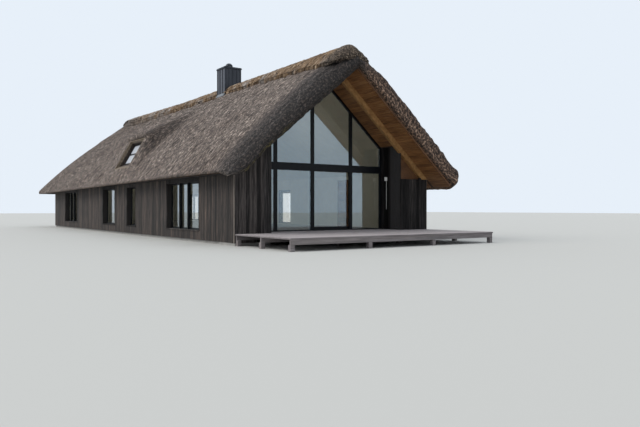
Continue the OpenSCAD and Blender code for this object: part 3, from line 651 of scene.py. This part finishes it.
def comb_reed(made, uv, lip, loose, seed):
    """Move the points along their normals, bend the edges and store what the finish reads."""
    mesh = made.data
    u, v = uv.T
    y = np.array([p.co.y for p in mesh.vertices])
    rough = part_way(y, -13.6, -14.5) + 0.3 * lip
    height = 0.018 * ripple(u, v, 0.13, 0.8, seed) + 0.014 * ripple(u, v, 0.07, 0.45, seed + 1)
    waves = 0.028 * ripple(u, v, 1.7, 2.1, seed + 2) + 0.012 * ripple(u, v, 0.5, 0.7, seed + 5)
    lumps = 0.026 * ripple(u, v, 0.16, 0.2, seed + 3) + 0.016 * ripple(u, v, 0.075, 0.09, seed + 4)
    height = (height + waves * (1 - 0.8 * lip) + rough * lumps) * (1 - 0.5 * lip)
    normals = np.array([p.normal[:] for p in mesh.vertices])
    spots = np.array([p.co[:] for p in mesh.vertices]) + normals * (height * loose)[:, None]
    # the verge bends down towards the front, and the eave sinks to the back and at its front corner
    bend = 1 - np.sqrt(1 - np.clip((-13.5 - y) / 1.32, 0, 0.99) ** 2)
    spots[:, 2] -= 0.60 * bend * part_way(spots[:, 0], 0.9, 0) * (1 - lip)
    sag = 0.15 * part_way(y, -9, 13)
    corner_drop = 0.16 * part_way(y, -13.9, -14.5) * part_way(spots[:, 0], -3.9, -4.6)
    spots[:, 2] -= (sag + corner_drop) * np.clip(lip * 1.5, 0, 1) * loose
    mesh.vertices.foreach_set("co", spots.ravel())
    lay_uv(mesh, uv)
    held = mesh.attributes.new("lip", "FLOAT", "POINT")
    held.data.foreach_set("value", lip.astype(np.float32))
    mesh.update()


print("weavers ready")

# %% Weave the near, sea and hip slopes
near_rows, sea_rows = 92, 72
near_step, sea_step = 0.065, 0.10
near_section, near_inner = section(near_top, near_pitch, near_reach, near_rows, near_rim)
sea_section, sea_inner = section(sea_top, sea_pitch, sea_reach, sea_rows, sea_rim)
coarse_section, _ = section(near_top, near_pitch, near_reach, sea_rows, near_rim)
near_slope = weave_slope("near_slope_reed", -1, near_pitch, near_section, near_section, near_inner,
                         near_rows, near_step, near_roll, "thatch_near", 11,
                         hood=hood_section(near_section, near_rows))
sea_slope = weave_slope("sea_slope_reed", 1, sea_pitch, sea_section,
                        coarse_section * (near_fall / sea_fall, 1), sea_inner,
                        sea_rows, sea_step, sea_roll, "thatch_sea", 23)
weave_hip("hip_slope_reed", coarse_section, sea_rows, sea_step, "thatch_hip", 37)

# %% [markdown]
# ## Openings in the reed
#
# The skylight sits at the bottom of a recess, and the chimney rises through the ridge. Both are
# cut out of the woven slopes with a boolean, which keeps the slope a closed solid.

# %% Cut the skylight recess and the chimney out
def sky_reach(up):
    """How far in from the front of the recess the underside of the lining is."""
    rise = sky_foot[1] + near_fall * sky_foot[0] - apex_z + lining_drop
    rise += up * (math.sin(sky_pitch) - near_fall * math.cos(sky_pitch))
    return rise / (math.cos(sky_pitch) + near_fall * math.sin(sky_pitch)) + lining_drop


recess = [sky_place(*q) for q in ((0, 0), (0, 0.6), (sky_high, 0.6), (sky_high, -sky_reach(sky_high)),
                                  (sky_sill, -sky_reach(sky_sill)), (sky_sill, -sky_depth))]
recess = [(-out, height) for out, height in recess]
shaft = [(side * chimney_x, height) for side, height in
         ((-1, 2.4), (1, 2.4), (1, ridge_z + 0.5), (-1, ridge_z + 0.5))]


def cut_out(made, prisms):
    """Each prism is an outline of places across the house and up, with its two ends along the house."""
    points, faces = [], []
    for outline, *ends in prisms:
        first, n = len(points), len(outline)
        points += [(x, y, z) for y in ends for x, z in outline]
        faces += [tuple(range(first, first + n)), tuple(range(first + 2 * n - 1, first + n - 1, -1))]
        faces += [(first + i, first + n + i, first + n + (i + 1) % n, first + (i + 1) % n) for i in range(n)]
    mesh = bpy.data.meshes.new("cutter")
    mesh.from_pydata(points, [], faces)
    face_outwards(mesh)
    cutter = bpy.data.objects.new("cutter", mesh)
    scene.collection.objects.link(cutter)
    cut = made.modifiers.new("cut", "BOOLEAN")
    cut.object = cutter
    cut.operation = "DIFFERENCE"
    cut.solver = "EXACT"
    bpy.context.view_layer.update()
    done = bpy.data.meshes.new_from_object(made.evaluated_get(bpy.context.evaluated_depsgraph_get()))
    made.modifiers.clear()
    made.data = done
    bpy.data.objects.remove(cutter)
    print(made.name, "cut,", len(done.polygons), "faces")


cut_out(near_slope, [(recess, sky_y0, sky_y1), (shaft, chimney_front, chimney_back)])
cut_out(sea_slope, [(shaft, chimney_front, chimney_back)])

# %% [markdown]
# ## The ridge cap
#
# The ridge is closed with bundles of reed laid over it. They are younger than the slopes, so they
# are golden, and they lie at a slant, crossing each other. The cap is one skin that follows the
# roof from the near edge over the crown to the sea edge, bends down over the verge in front and
# hangs over the hip at the back. Its height over the apex line is a smooth form of the three
# slopes, which keeps one rule for the whole length. Some two thousand slanted bundles lie on it.

# %% Describe the surface of the cap
crown_soft, front_bend, bend_r = 0.15, verge_y + 0.64, 0.42
hood_wrap = bend_r * math.radians(78)
cap_tip = ridge_end_y + 0.12


def soft_larger(a, b, soft):
    return 0.5 * (a + b + np.sqrt((a - b) ** 2 + soft ** 2))


def cap_place(x, v, h):
    """A place on the cap: x across the ridge, v along it and round the front, h over the reed."""
    x, v, h = (np.asarray(value, float) for value in (x, v, h))
    turn = np.clip((front_bend - v) / bend_r, 0, math.pi / 2)
    y = np.where(turn > 0, front_bend - (bend_r + h) * np.sin(turn), v)
    over = np.where(turn > 0, (bend_r + h) * np.cos(turn) - bend_r, h)
    fall = np.where(x < 0, near_fall, sea_fall) * (np.sqrt(x ** 2 + crown_soft ** 2) - 0.03)
    lower = soft_larger(fall, hip_fall * (y - ridge_end_y), 0.18)
    z = ridge_z + over / math.cos(near_pitch) - lower + 0.035 + 0.24 * ease(part_way(x, 0, 1.2))
    return np.stack([x + 0 * z, y + 0 * z, z], -1)


def cap_reach(v, side):
    """How far down each slope the cap goes: wider over the verge, narrow at the hip's tip.

    On the near side it leaves the foot of the chimney free.
    """
    v = np.asarray(v, float)
    usual, more = (0.52, 0.36) if side < 0 else (0.62, 0.26)
    wide = usual + more * part_way(v, -8.0, -14.0)
    tip = 1 - 0.95 * part_way(v, cap_tip - 4.5, cap_tip) ** 1.5
    reach = (wide + 0.05 * ripple(v, side, 0.35, 1, 51) + 0.03 * ripple(v, side, 0.11, 1, 52)) * tip
    beside = part_way(np.abs(v - chimney_y), 0.60, 0.48) if side < 0 else 0
    return reach + (0.38 - reach) * beside


def cap_rise(v):
    """The cap gets thicker towards the back, where the ridge stands a little higher."""
    return (0.125 + 0.13 * part_way(v, 1, 10)) * (1 - 0.75 * part_way(v, cap_tip - 1.6, cap_tip) ** 2)


def drawn_back(x):
    """How much shorter the wrap over the verge gets away from the ridge."""
    return 0.8 * part_way(np.abs(x), 0, 0.88) ** 2


print("cap top", round(float(cap_place(0, 0, 0.20)[2]), 3))

# %% Weave the cap's skin
stations = np.concatenate([np.arange(front_bend - hood_wrap, front_bend, 0.04),
                           np.arange(front_bend, cap_tip, 0.07)])
shares = np.linspace(-1, 1, 29)
v, share = np.meshgrid(stations, shares, indexing="ij")
v = np.where(v < front_bend, front_bend - (front_bend - v) * (1 - 0.8 * share ** 2), v)
x = np.where(share < 0, cap_reach(v, -1), cap_reach(v, 1)) * share
h = cap_rise(v) * (0.55 + 0.45 * np.sqrt(part_way(np.abs(share), 1, 0.78)))
h += 0.022 * ripple(v + 0.6 * x, x, 0.14, 0.7, 53) + 0.02 * ripple(v, x, 0.5, 0.5, 54)
h += 0.012 * ripple(v - 0.6 * x, x, 0.06, 0.5, 55)
inside = cap_place(x, v, np.where(v < front_bend, -0.02, -0.05))[:, ::-1]
ring = np.concatenate([cap_place(x, v, h), inside], axis=1)
rings, corners = ring.shape[:2]
cap_skin = make_piece("ridge_cap_reed", ring.reshape(-1, 3), tube_faces(rings, corners), ridge_reed,
                      "ridge_thatch", replaces=("ridge_cap",), smooth=True)
across = np.concatenate([shares, shares[::-1]])
lay_uv(cap_skin.data, np.stack([np.repeat(stations, corners), np.tile(across, rings)], -1))


# %% Lay the slanted bundles
def unit(rows):
    return rows / np.linalg.norm(rows, axis=1)[:, None]


def lay_bundles(count, seed):
    """Each bundle is a flat arch with five points across, led over the cap along a slanted line."""
    chance = np.random.default_rng(seed)
    arch_w, arch_h = np.array([(-0.5, -0.25), (-0.32, 0.6), (0, 1), (0.32, 0.6), (0.5, -0.25)]).T
    steps, k = 7, len(arch_w)
    t = np.linspace(0, 1, steps)
    points, uv, faces = [], [], []
    for number in range(count):
        over_verge = number % 10 == 0
        side = -1 if chance.random() < 0.62 else 1
        v0 = chance.uniform(front_bend - 0.9 * bend_r, cap_tip - 0.35)
        lean = chance.uniform(0.10, 0.42) * chance.choice([-1, 1])
        lean = max(lean, 0.5 * (front_bend - v0)) if side > 0 else lean
        low = float(cap_reach(v0, side)) * chance.uniform(0.94, 1.12)
        high = chance.uniform(-0.25, 0.6) * low
        x = side * (high + (low - high) * t)
        v = v0 + lean * t
        if over_verge:
            x = chance.uniform(-0.75, 0.75) + chance.uniform(-0.10, 0.10) * t
            wrap = hood_wrap + 0.08 + chance.uniform(-0.05, 0.03)
            v = front_bend + 0.10 - wrap * t * (1 - drawn_back(x))
        if side < 0 and np.any((np.abs(v - chimney_y) < 0.52) & (x < -0.34)):
            continue
        if not over_verge:
            v = v + np.clip(front_bend - v, 0, None) * drawn_back(x)
        h = cap_rise(v) * np.where(np.abs(x) > 0.78 * low, 0.72, 1.0) + chance.uniform(-0.01, 0.012)
        middle = cap_place(x, v, h)
        outward = unit(cap_place(x, v, h + 0.02) - middle)
        sideways = unit(np.cross(np.gradient(middle, axis=0), outward))
        wide = chance.uniform(0.04, 0.11) * (0.55 + 0.45 * np.sin(math.pi * (0.15 + 0.75 * t)))
        thick = chance.uniform(0.015, 0.045) * (0.4 + 0.6 * np.sin(math.pi * (0.1 + 0.85 * t)))
        across = arch_w * wide[:, None]
        ring = middle[:, None] + sideways[:, None] * across[..., None]
        ring = ring + outward[:, None] * (arch_h * thick[:, None])[..., None]
        faces += tube_faces(steps, k, len(points) * steps * k)
        points.append(ring.reshape(-1, 3))
        start_u, start_v = chance.uniform(0, 9), chance.uniform(0, 9)
        places = np.broadcast_arrays(start_u + across, start_v + t[:, None] * 0.7)
        uv.append(np.stack(places, -1).reshape(-1, 2))
    made = make_piece("ridge_bundles", np.concatenate(points), faces, ridge_reed, "ridge_thatch",
                      smooth=True)
    lay_uv(made.data, np.concatenate(uv))


lay_bundles(2200, 61)

# %% [markdown]
# ## Boards
#
# Board cladding is many solids with narrow gaps, chamfered edges that catch the light and widths
# that are never quite equal. A small collector gathers solids into one mesh per wall. A board is
# a six-sided section led from one end to the other; the ends may follow a slope.

# %% Write the collector of solids and the board finish
class Solids:
    """Collects closed solids for one mesh."""

    def __init__(self):
        self.points, self.faces = [], []

    def bridge(self, start, end):
        """A closed solid between two outlines with the same number of points."""
        first, k = len(self.points), len(start)
        self.points += list(start) + list(end)
        self.faces += [tuple(first + i for i in range(k)), tuple(first + k + i for i in reversed(range(k)))]
        self.faces += [(first + i, first + (i + 1) % k, first + k + (i + 1) % k, first + k + i)
                       for i in range(k)]

    def block(self, low, high, chamfer=0.0):
        """A bar along its longest side, with its four long edges taken off."""
        axis = max(range(3), key=lambda a: high[a] - low[a])
        a, b = [n for n in range(3) if n != axis]
        c = chamfer
        section = [(low[a] + c, low[b]), (high[a] - c, low[b]), (high[a], low[b] + c), (high[a], high[b] - c),
                   (high[a] - c, high[b]), (low[a] + c, high[b]), (low[a], high[b] - c), (low[a], low[b] + c)]
        if not c:
            section = [section[i] for i in (0, 1, 4, 5)]
        rings = []
        for along in (low[axis], high[axis]):
            ring = []
            for p, q in section:
                place = [0, 0, 0]
                place[axis], place[a], place[b] = along, p, q
                ring.append(tuple(place))
            rings.append(ring)
        self.bridge(*rings)

    def board(self, span, ends, place, thick, chamfer=0.005):
        """A board over span, thick proud of a face: place(w, out, length) gives a place on it.

        The ends are lengths, or functions of w that give a length.
        """
        w0, w1 = span
        top = thick - chamfer
        section = [(w0, 0.0), (w1, 0.0), (w1, top), (w1 - chamfer, thick), (w0 + chamfer, thick), (w0, top)]
        self.bridge(*[[place(w, out, end(w) if callable(end) else end) for w, out in section]
                      for end in ends])

    def make(self, name, finish, slot, **more):
        return make_piece(name, self.points, self.faces, finish, slot, **more)


def split(low, high, width, gap, chance):
    """Board spans that fill a stretch, each a little wider or narrower than width."""
    count = max(1, round((high - low) / width))
    cuts = np.linspace(low, high, count + 1)
    cuts[1:-1] += chance.uniform(-0.13, 0.13, count - 1) * width
    return [(a + gap / 2, b - gap / 2) for a, b in zip(cuts, cuts[1:])]


def board_finish(name, tones, grain, rough=0.8, spread=0.45, shine=0.5, extra=None):
    """tones are dark, middle and light; grain is the stretch of the noise; extra adds to the colour."""
    r = Recipe(name, rough, shine=shine)
    lines = r.noise(grain, detail=6, rough=0.65)
    slow = r.noise(tuple(value * 0.15 + 0.2 for value in grain), detail=3)
    colour = r.ramp(r.weigh((lines, 0.7), (slow, 0.3)), list(zip((0.36, 0.50, 0.66), tones)))
    low = 1 - spread
    own_tone = r.ramp(r.solid_value(), [(0.0, (low, low * 0.97, low * 0.95)),
                                        (0.5, (0.5 + low / 2,) * 3), (1.0, (1.0, 0.97, 0.93))])
    colour = r.tint(colour, 1.0, own_tone)
    if extra:
        colour = extra(r, colour)
    return r.finish(colour, height=lines, depth=0.004)


def porch_shade_and_light(r, colour):
    """Painted shade towards the sea side, and painted light on the outer strip of the porch's side wall
    there, which the open sky reaches.
    """
    x, y = r.axis("X"), r.axis("Y")
    # painted shade towards the sea side of the porch
    colour = r.tint(colour, r.between(x, 1.2, 2.8), (0.52, 0.52, 0.52))
    # painted light on the outer strip of the porch's side wall
    sky_lit_strip = r.times(r.between(x, 3.075, 3.035), r.between(x, 2.9, 2.95),
                   r.between(y, -13.02, -13.14), r.between(y, -13.69, -13.66))
    return r.mix(sky_lit_strip, colour, (0.055, 0.053, 0.053))


upright, along_y, along_x = (26, 26, 1.4), (26, 1.4, 26), (1.4, 26, 26)
weathered_board = board_finish(
    "weathered_board", [(0.013, 0.010, 0.009), (0.055, 0.043, 0.038), (0.180, 0.128, 0.104)],
    upright, spread=0.80)
stained_board = board_finish(
    "stained_board", [(0.016, 0.015, 0.015), (0.058, 0.053, 0.053), (0.150, 0.133, 0.131)],
    upright, spread=0.88, shine=0.15, extra=porch_shade_and_light)
oiled_board = board_finish(
    "oiled_board", [(0.11, 0.048, 0.016), (0.27, 0.122, 0.040), (0.44, 0.23, 0.090)],
    along_y, rough=0.6, spread=0.30)
deck_board = board_finish(
    "deck_board", [(0.32, 0.29, 0.30), (0.48, 0.44, 0.455), (0.62, 0.58, 0.59)],
    along_x, spread=0.25)
deck_beam = board_finish(
    "deck_beam", [(0.13, 0.118, 0.122), (0.21, 0.19, 0.196), (0.30, 0.275, 0.283)],
    along_x, spread=0.15)
trim_board = board_finish(
    "trim_board", [(0.07, 0.058, 0.05), (0.14, 0.118, 0.104), (0.24, 0.205, 0.18)],
    upright, spread=0.25)
print("board finishes ready")

# %% [markdown]
# ## Cladding of the walls
#
# Boards cover the core of each wall from just over the ground to the eave. Where a window is,
# they stop at the sill. Dark surrounds stand beside the window and under it, and a dark board over
# its head is painted shade under the eave.

# %% Board the long walls and the end wall
board_w, board_gap, board_out, board_low = 0.142, 0.008, 0.022, 0.10
front_w, trim_w = 0.150, 0.055
near_top_z, sea_top_z, strip_top_z = 2.455, 2.50, 2.478
sill_z, window_top = 0.46, 2.30
chance = np.random.default_rng(7)
middle_windows = [(-3.47, -2.17), (-0.17, 1.94), (7.59, 10.67)]
near_windows = [(-10.77, -7.48)] + middle_windows


def clad_long_wall(name, side, windows, top):
    boards, trims = Solids(), Solids()

    def place(w, out, length):
        return (side * (wall_x + out), w, length)

    edges = [gable_y] + [y for pair in windows for y in pair] + [far_y]
    for number, (start, end) in enumerate(zip(edges, edges[1:])):
        board_top = sill_z - 0.02 if number % 2 else top
        for span in split(start, end, board_w, board_gap, chance):
            boards.board(span, (board_low, board_top), place, board_out)
    for start, end in windows:
        for low, high in ((start - trim_w, start), (end, end + trim_w)):
            trims.board((low, high), (sill_z - 0.03, top), place, board_out + 0.012)
        trims.board((start - trim_w, end + trim_w), (sill_z - 0.035, sill_z), place, board_out + 0.035)
        # the dark board over the head is painted shade under the eave
        trims.board((start, end), (window_top, top), place, board_out + 0.006)
    boards.make(name + "_boards", weathered_board, "weathered_boards")
    trims.make(name + "_window_surrounds", stained_board, "dark_boards")


clad_long_wall("near_wall", -1, near_windows, near_top_z)
clad_long_wall("sea_wall", 1, middle_windows, sea_top_z)
end_wall = Solids()
for span in split(-wall_x, wall_x, board_w, board_gap, chance):
    end_wall.board(span, (board_low, sea_top_z), lambda w, out, length: (w, far_y + out, length), board_out)
end_wall.make("end_wall_boards", weathered_board, "weathered_boards")


# %% Board the front strips, the porch's side walls and the corners
def beam_foot(x):
    """Height just under the raking beams of the gable."""
    return under(x) - lining_drop - beam_rise - 0.004


def front_place(w, out, length):
    return (w, gable_y - out, length)


front = Solids()
for start, end, top in ((-wall_x - board_out, -porch_x, beam_foot),
                        (porch_x, wall_x + board_out, strip_top_z)):
    for span in split(start, end, front_w, board_gap, chance):
        front.board(span, (board_low, top), front_place, board_out)
for side in (-1, 1):
    for span in split(gable_y - board_out, glazing_y - 0.004, front_w, board_gap, chance):
        behind_beam = span[0] > gable_y + 0.13
        top = under(side * porch_x) - lining_drop - 0.006 if behind_beam else beam_foot(side * porch_x)
        front.board(span, (floor_z + 0.004, top),
                    lambda w, out, length: (side * (porch_x - out), w, length), 0.012, 0.004)
front.make("front_boards", stained_board, "dark_boards")
corners = Solids()
corner_y = (gable_y - board_out - 0.004, gable_y + 0.06)
for side, top in ((-1, near_top_z), (1, sea_top_z)):
    x0, x1 = sorted((side * (wall_x + board_out - 0.002), side * (wall_x + board_out + 0.012)))
    corners.block((x0, corner_y[0], board_low), (x1, corner_y[1], top), 0.003)
corners.make("corner_trim", trim_board, "weathered_boards")

# %% [markdown]
# ## Timber under the roof
#
# The porch ceiling and the undersides of the verge and the sea eave are oiled boards that run
# along the house. They hang under the lining of the CAD model, which closes the gaps between them.

# %% Board the undersides
def board_underside(name, zones, y0, y1, seed, width=0.128, gap=0.007):
    """zones are side, low x and high x of boards under one slope, from y0 to y1."""
    under_boards = Solids()
    dice = np.random.default_rng(seed)
    for side, x0, x1 in zones:
        pitch = near_pitch if side < 0 else sea_pitch
        along, sink = math.cos(pitch), math.sin(pitch)

        def place(w, out, length):
            height = under(side * w * along) - lining_drop - out / along + out * sink * math.tan(pitch)
            return (side * w * along - side * out * sink, length, height)

        for span in split(x0 / along, x1 / along, width, gap, dice):
            under_boards.board(span, (y0, y1), place, 0.014, 0.004)
    under_boards.make(name, oiled_board, "warm_timber")


beam_front, beam_back = gable_y - 0.006, gable_y + 0.146
board_underside("verge_soffit_boards", [(-1, 0.05, 4.80), (1, 0.05, 4.93)], verge_y + 0.16, beam_front, 71)
board_underside("porch_ceiling_boards", [(-1, 0.05, 3.00), (1, 0.05, 3.00)], beam_back, glazing_y, 73,
                width=0.24, gap=0.018)
board_underside("sea_eave_boards", [(1, wall_x + 0.03, 4.93)], beam_back, 13.9, 75)

# %% [markdown]
# ## The deck boards
#
# The deck is laid with boards that run across the house, with a narrow gap between them. They are
# lighter than the beams under them.

# %% Lay the deck boards
deck_front, half_deck, half_porch = -17.235, wall_x - 0.005, porch_x - 0.03
laid = Solids()
dice = np.random.default_rng(81)
for start, end, reach in ((deck_front, gable_y - 0.03, half_deck),
                          (gable_y - 0.02, glazing_y - 0.01, half_porch)):
    for y0, y1 in split(start, end, 0.142, 0.007, dice):
        laid.block((-reach, y0, floor_z), (reach, y1, floor_z + 0.010), 0.003)
laid.make("deck_boards", deck_board, "deck_boards")

# %% [markdown]
# ## Finishes for the CAD pieces that stay
#
# Many CAD solids are already right: frames, panes, slabs, beams, the chimney's casing. They keep
# their shape and get a finish. A wall's core has two faces, so its paint asks where it is: dark
# behind the boards, as painted shade in the gaps between them, and pale inside the rooms.

# %% Make the plain finishes
def painted(name, colour, dark, rough, metallic=0.0, scale=6.0, depth=0.001, shine=0.5):
    """A painted or metal surface with slow changes of tone and a fine unevenness."""
    r = Recipe(name, rough, metallic, shine)
    cloudy = r.noise((scale,) * 3, detail=5, rough=0.6)
    fine = r.noise((scale * 14,) * 3, detail=2)
    return r.finish(r.ramp(cloudy, [(0.35, dark), (0.65, colour)]), height=fine, depth=depth)


def two_faced(name, outside, half_width):
    """Pale within half_width of the middle and between the gable and the end wall, dark outside."""
    r = Recipe(name, 0.85)
    away = r.node("Math", {0: r.axis("X")}, operation="ABSOLUTE").outputs[0]
    indoors = r.node("Math", {0: away, 1: half_width}, operation="LESS_THAN").outputs[0]
    indoors = r.times(indoors, r.between(r.axis("Y"), glazing_y - 0.02, glazing_y + 0.02),
                      r.between(r.axis("Y"), far_y - 0.14, far_y - 0.16))
    cloudy = r.noise((3, 3, 3), detail=4)
    pale = r.ramp(cloudy, [(0.3, tuple(0.92 * c for c in inside_paint)), (0.7, inside_paint)])
    return r.finish(r.mix(indoors, outside, pale), height=cloudy, depth=0.001)


def sheet_finish(name):
    """Dark coated sheet, with painted shade on the side that faces the front."""
    r = Recipe(name, 0.42, 0.35)
    streaks = r.noise((4, 4, 0.4), detail=4, rough=0.6)
    colour = r.ramp(streaks, [(0.38, (0.060, 0.066, 0.084)), (0.62, (0.105, 0.110, 0.130))])
    # painted shade on the side that faces the front
    colour = r.tint(colour, r.between(r.facing("Y"), -0.5, -0.9), (0.42, 0.44, 0.46))
    return r.finish(colour, height=streaks, depth=0.001)


def recess_finish():
    """Plain boards round the skylight, with painted shade deep in the recess close to the pane."""
    r = Recipe("recess_board", 0.8)
    grain = r.noise((9, 9, 9), detail=6, rough=0.65)
    colour = r.ramp(grain, [(0.36, (0.075, 0.057, 0.040)), (0.50, (0.16, 0.122, 0.086)),
                            (0.66, (0.28, 0.22, 0.155))])
    square_out = (-math.sin(sky_pitch), 0, math.cos(sky_pitch))
    start = r.node("TexCoord").outputs["Object"]
    out = r.node("VectorMath", {0: start, 1: square_out}, operation="DOT_PRODUCT").outputs["Value"]
    pane = sky_foot[0] * math.sin(sky_pitch) + sky_foot[1] * math.cos(sky_pitch)
    # painted shade deep in the recess, close to the pane
    close = r.between(out, pane - 0.11, pane - 0.17)
    return r.finish(r.tint(colour, close, (0.26, 0.24, 0.26)), height=grain, depth=0.004)


def pane_glass():
    """Coated glass: it mirrors the sky and lets lamp light through its panes."""
    r = Recipe("coated_glass", 0.0)
    for socket, value in (("Base Color", (0.96, 0.98, 0.96, 1)), ("IOR", 2.2),
                          ("Transmission Weight", 1.0), ("Specular Tint", (0.68, 0.86, 1.0, 1))):
        r.skin.inputs[socket].default_value = value
    wavy = r.node("TexNoise", {"Scale": 0.8})
    bump = r.node("Bump", {"Distance": 0.0006, "Height": wavy.outputs["Fac"]})
    r.tree.links.new(bump.outputs[0], r.skin.inputs["Normal"])
    clear = r.node("BsdfTransparent", {"Color": (0.96, 0.97, 0.96, 1)})
    shadow = r.node("LightPath").outputs["Is Shadow Ray"]
    blend = r.node("MixShader", {0: shadow, 1: r.skin.outputs[0], 2: clear.outputs[0]})
    r.tree.links.new(blend.outputs[0], r.tree.nodes["Material Output"].inputs["Surface"])
    return r.material


inside_paint = (0.84, 0.84, 0.74)
# outside the rooms the cores are dark: painted shade that shows in the gaps between the boards
wall_core = two_faced("wall_core", (0.020, 0.017, 0.016), 4.2)
lining_core = two_faced("lining_core", (0.065, 0.036, 0.020), wall_x)
frame_paint = painted("frame_paint", (0.0075, 0.009, 0.0115), (0.0045, 0.0055, 0.007), 0.4, shine=0.15)
cast_concrete = painted("cast_concrete", (0.36, 0.35, 0.335), (0.27, 0.265, 0.255), 0.9,
                        scale=2.5, depth=0.004)
brushed_steel = painted("brushed_steel", (0.62, 0.62, 0.62), (0.50, 0.50, 0.51), 0.28,
                        metallic=1.0, scale=30)
sheet_metal = sheet_finish("sheet_metal")
# dark coated metal for the lid and cowl; on the ribs of the casing its darker tone is painted shade beside
# each seam
seam_metal = painted("seam_metal", (0.030, 0.036, 0.046), (0.018, 0.022, 0.030), 0.42,
                     metallic=0.35, scale=5)
pale_sheet = painted("pale_sheet", (0.30, 0.32, 0.345), (0.18, 0.195, 0.215), 0.5, metallic=0.3, scale=8)
lamp_paint = painted("lamp_paint", (0.86, 0.86, 0.84), (0.76, 0.76, 0.74), 0.5, scale=20)
# the skylight's pane is an opaque pale blue-white paint: a painted reflection of the sky
painted_sky_pane = painted("painted_sky_pane", (0.76, 0.80, 0.87), (0.70, 0.75, 0.83), 0.08,
                     scale=1.5, depth=0.0, shine=1.0)
beam_wood = board_finish(
    "beam_wood", [(0.20, 0.100, 0.034), (0.36, 0.195, 0.070), (0.52, 0.31, 0.125)],
    (7, 30, 7), rough=0.55, spread=0.08)
# a darker copy of the oiled timber: painted shade for the spandrel and the verge boards, which lie in the
# gable's shade
shaded_timber = board_finish(
    "shaded_timber", [(0.060, 0.022, 0.006), (0.14, 0.057, 0.016), (0.24, 0.108, 0.032)],
    along_y, rough=0.6)
recess_board = recess_finish()
coated_glass = pane_glass()
print("plain finishes ready")

# %% Put the finishes on the CAD pieces
finish_of = {
    wall_core: ["near_wall", "sea_wall", "far_wall", "front_left_wall", "front_right_wall",
                "left_return_wall", "right_return_wall"],
    lining_core: ["near_lining", "sea_lining", "hip_lining"],
    stained_board: ["near_eave_soffit"],
    frame_paint: ["gable_frame", "door_track", "door_sash", "near_window_frames",
                  "sea_window_frames", "skylight_frame"],
    coated_glass: ["upper_glass", "lower_glass", "door_glass", "near_window_glass",
                   "sea_window_glass"],
    painted_sky_pane: ["skylight_glass"],
    cast_concrete: ["foundation_slab", "floor_slab", "porch_piers"],
    brushed_steel: ["door_handle"],
    sheet_metal: ["chimney_casing"],
    seam_metal: ["chimney_lid", "flue_cowl"],
    pale_sheet: ["flue_pipe"],
    beam_wood: ["gable_beams"],
    oiled_board: ["inner_timber_panel"],
    shaded_timber: ["timber_spandrel", "verge_boards"],
    recess_board: ["skylight_lining"],
    deck_beam: ["deck_floor", "porch_deck", "deck_joists", "deck_posts"],
    lamp_paint: ["wall_lamp"],
}
for finish, names in finish_of.items():
    for name in names:
        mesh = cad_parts[name].data
        mesh.materials.clear()
        mesh.materials.append(finish)
left_out = set(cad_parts) - {name for names in finish_of.values() for name in names}
print("replaced by woven reed:", sorted(left_out))

# %% [markdown]
# ## Covers on the mullions
#
# A wide window has three lights. The mullions between them carry a deep cover outside, so from
# along the wall they look much wider than they are.

# %% Add the mullion covers
wide_light, middle_light = 1.405, 0.85
frame_out, cover_out, cover_half = 4.255, 4.335, 0.035
covers = Solids()
for side, windows in ((-1, near_windows), (1, middle_windows)):
    x0, x1 = sorted((side * frame_out, side * cover_out))
    for start, end in windows:
        if end - start > 2 * wide_light:
            for along in (start + wide_light, start + wide_light + middle_light):
                covers.block((x0, along - cover_half, sill_z + 0.003),
                             (x1, along + cover_half, window_top - 0.003), 0.006)
covers.make("mullion_covers", frame_paint, "black_frame")

# %% [markdown]
# ## The chimney's sheet metal
#
# The casing is folded sheet with standing seams. Seams and corner trims are narrow ribs that stand
# about two centimetres proud, in a darker metal that paints the thin shade beside each seam. A pale
# flashing seals the foot of the casing against the reed: one leg stands against the sheet and the
# other lies down the slope.

# %% Add seams, corner trims, the lid's fold and the flashing
casing_low, casing_high, fold_low, fold_high = 6.75, 8.245, 8.215, 8.262
proud, trim, fold = 0.02, 0.045, 0.022
seams = Solids()


def rib(x0, y0, x1, y1, low=casing_low, high=casing_high):
    """An upright rib between two corners of its outline, which may be given in any order."""
    seams.block((min(x0, x1), min(y0, y1), low), (max(x0, x1), max(y0, y1), high), 0.003)


for place in np.linspace(-chimney_x, chimney_x, 5)[1:-1]:
    for face_y, out in ((chimney_front, -0.018), (chimney_back, 0.018)):
        rib(place - 0.012, face_y, place + 0.012, face_y + out)
for place in np.linspace(chimney_front, chimney_back, 4)[1:-1]:
    for side in (-1, 1):
        rib(side * chimney_x, place - 0.03, side * (chimney_x + proud), place + 0.03)
for side in (-1, 1):
    for face_y, out in ((chimney_front, -1), (chimney_back, 1)):
        rib(side * (chimney_x - trim), face_y, side * (chimney_x + proud), face_y + out * proud)
    rib(side * chimney_x, chimney_back, side * (chimney_x + proud), chimney_back - trim)
    rib(side * (chimney_x + fold), chimney_front - trim, side * (chimney_x + trim), chimney_back + trim,
        fold_low, fold_high)
for face_y, out in ((chimney_front, -1), (chimney_back, 1)):
    rib(-chimney_x - trim, face_y + out * trim, chimney_x + trim, face_y + out * fold, fold_low, fold_high)
seams.make("chimney_seams", seam_metal, "seamed_metal")

flashing = Solids()
foot_z = ridge_z - chimney_x * near_fall
leg = [(0, 0.085), (0.024, 0.085), (0.030, 0.035), (0.085, -0.010), (0.085, -0.06), (0, -0.03)]
flashing.bridge(*[[(-chimney_x - out, along, foot_z + up) for out, up in leg]
                  for along in (chimney_front + 0.01, chimney_back + 0.01)])
flashing.make("chimney_flashing", pale_sheet, "seamed_metal")
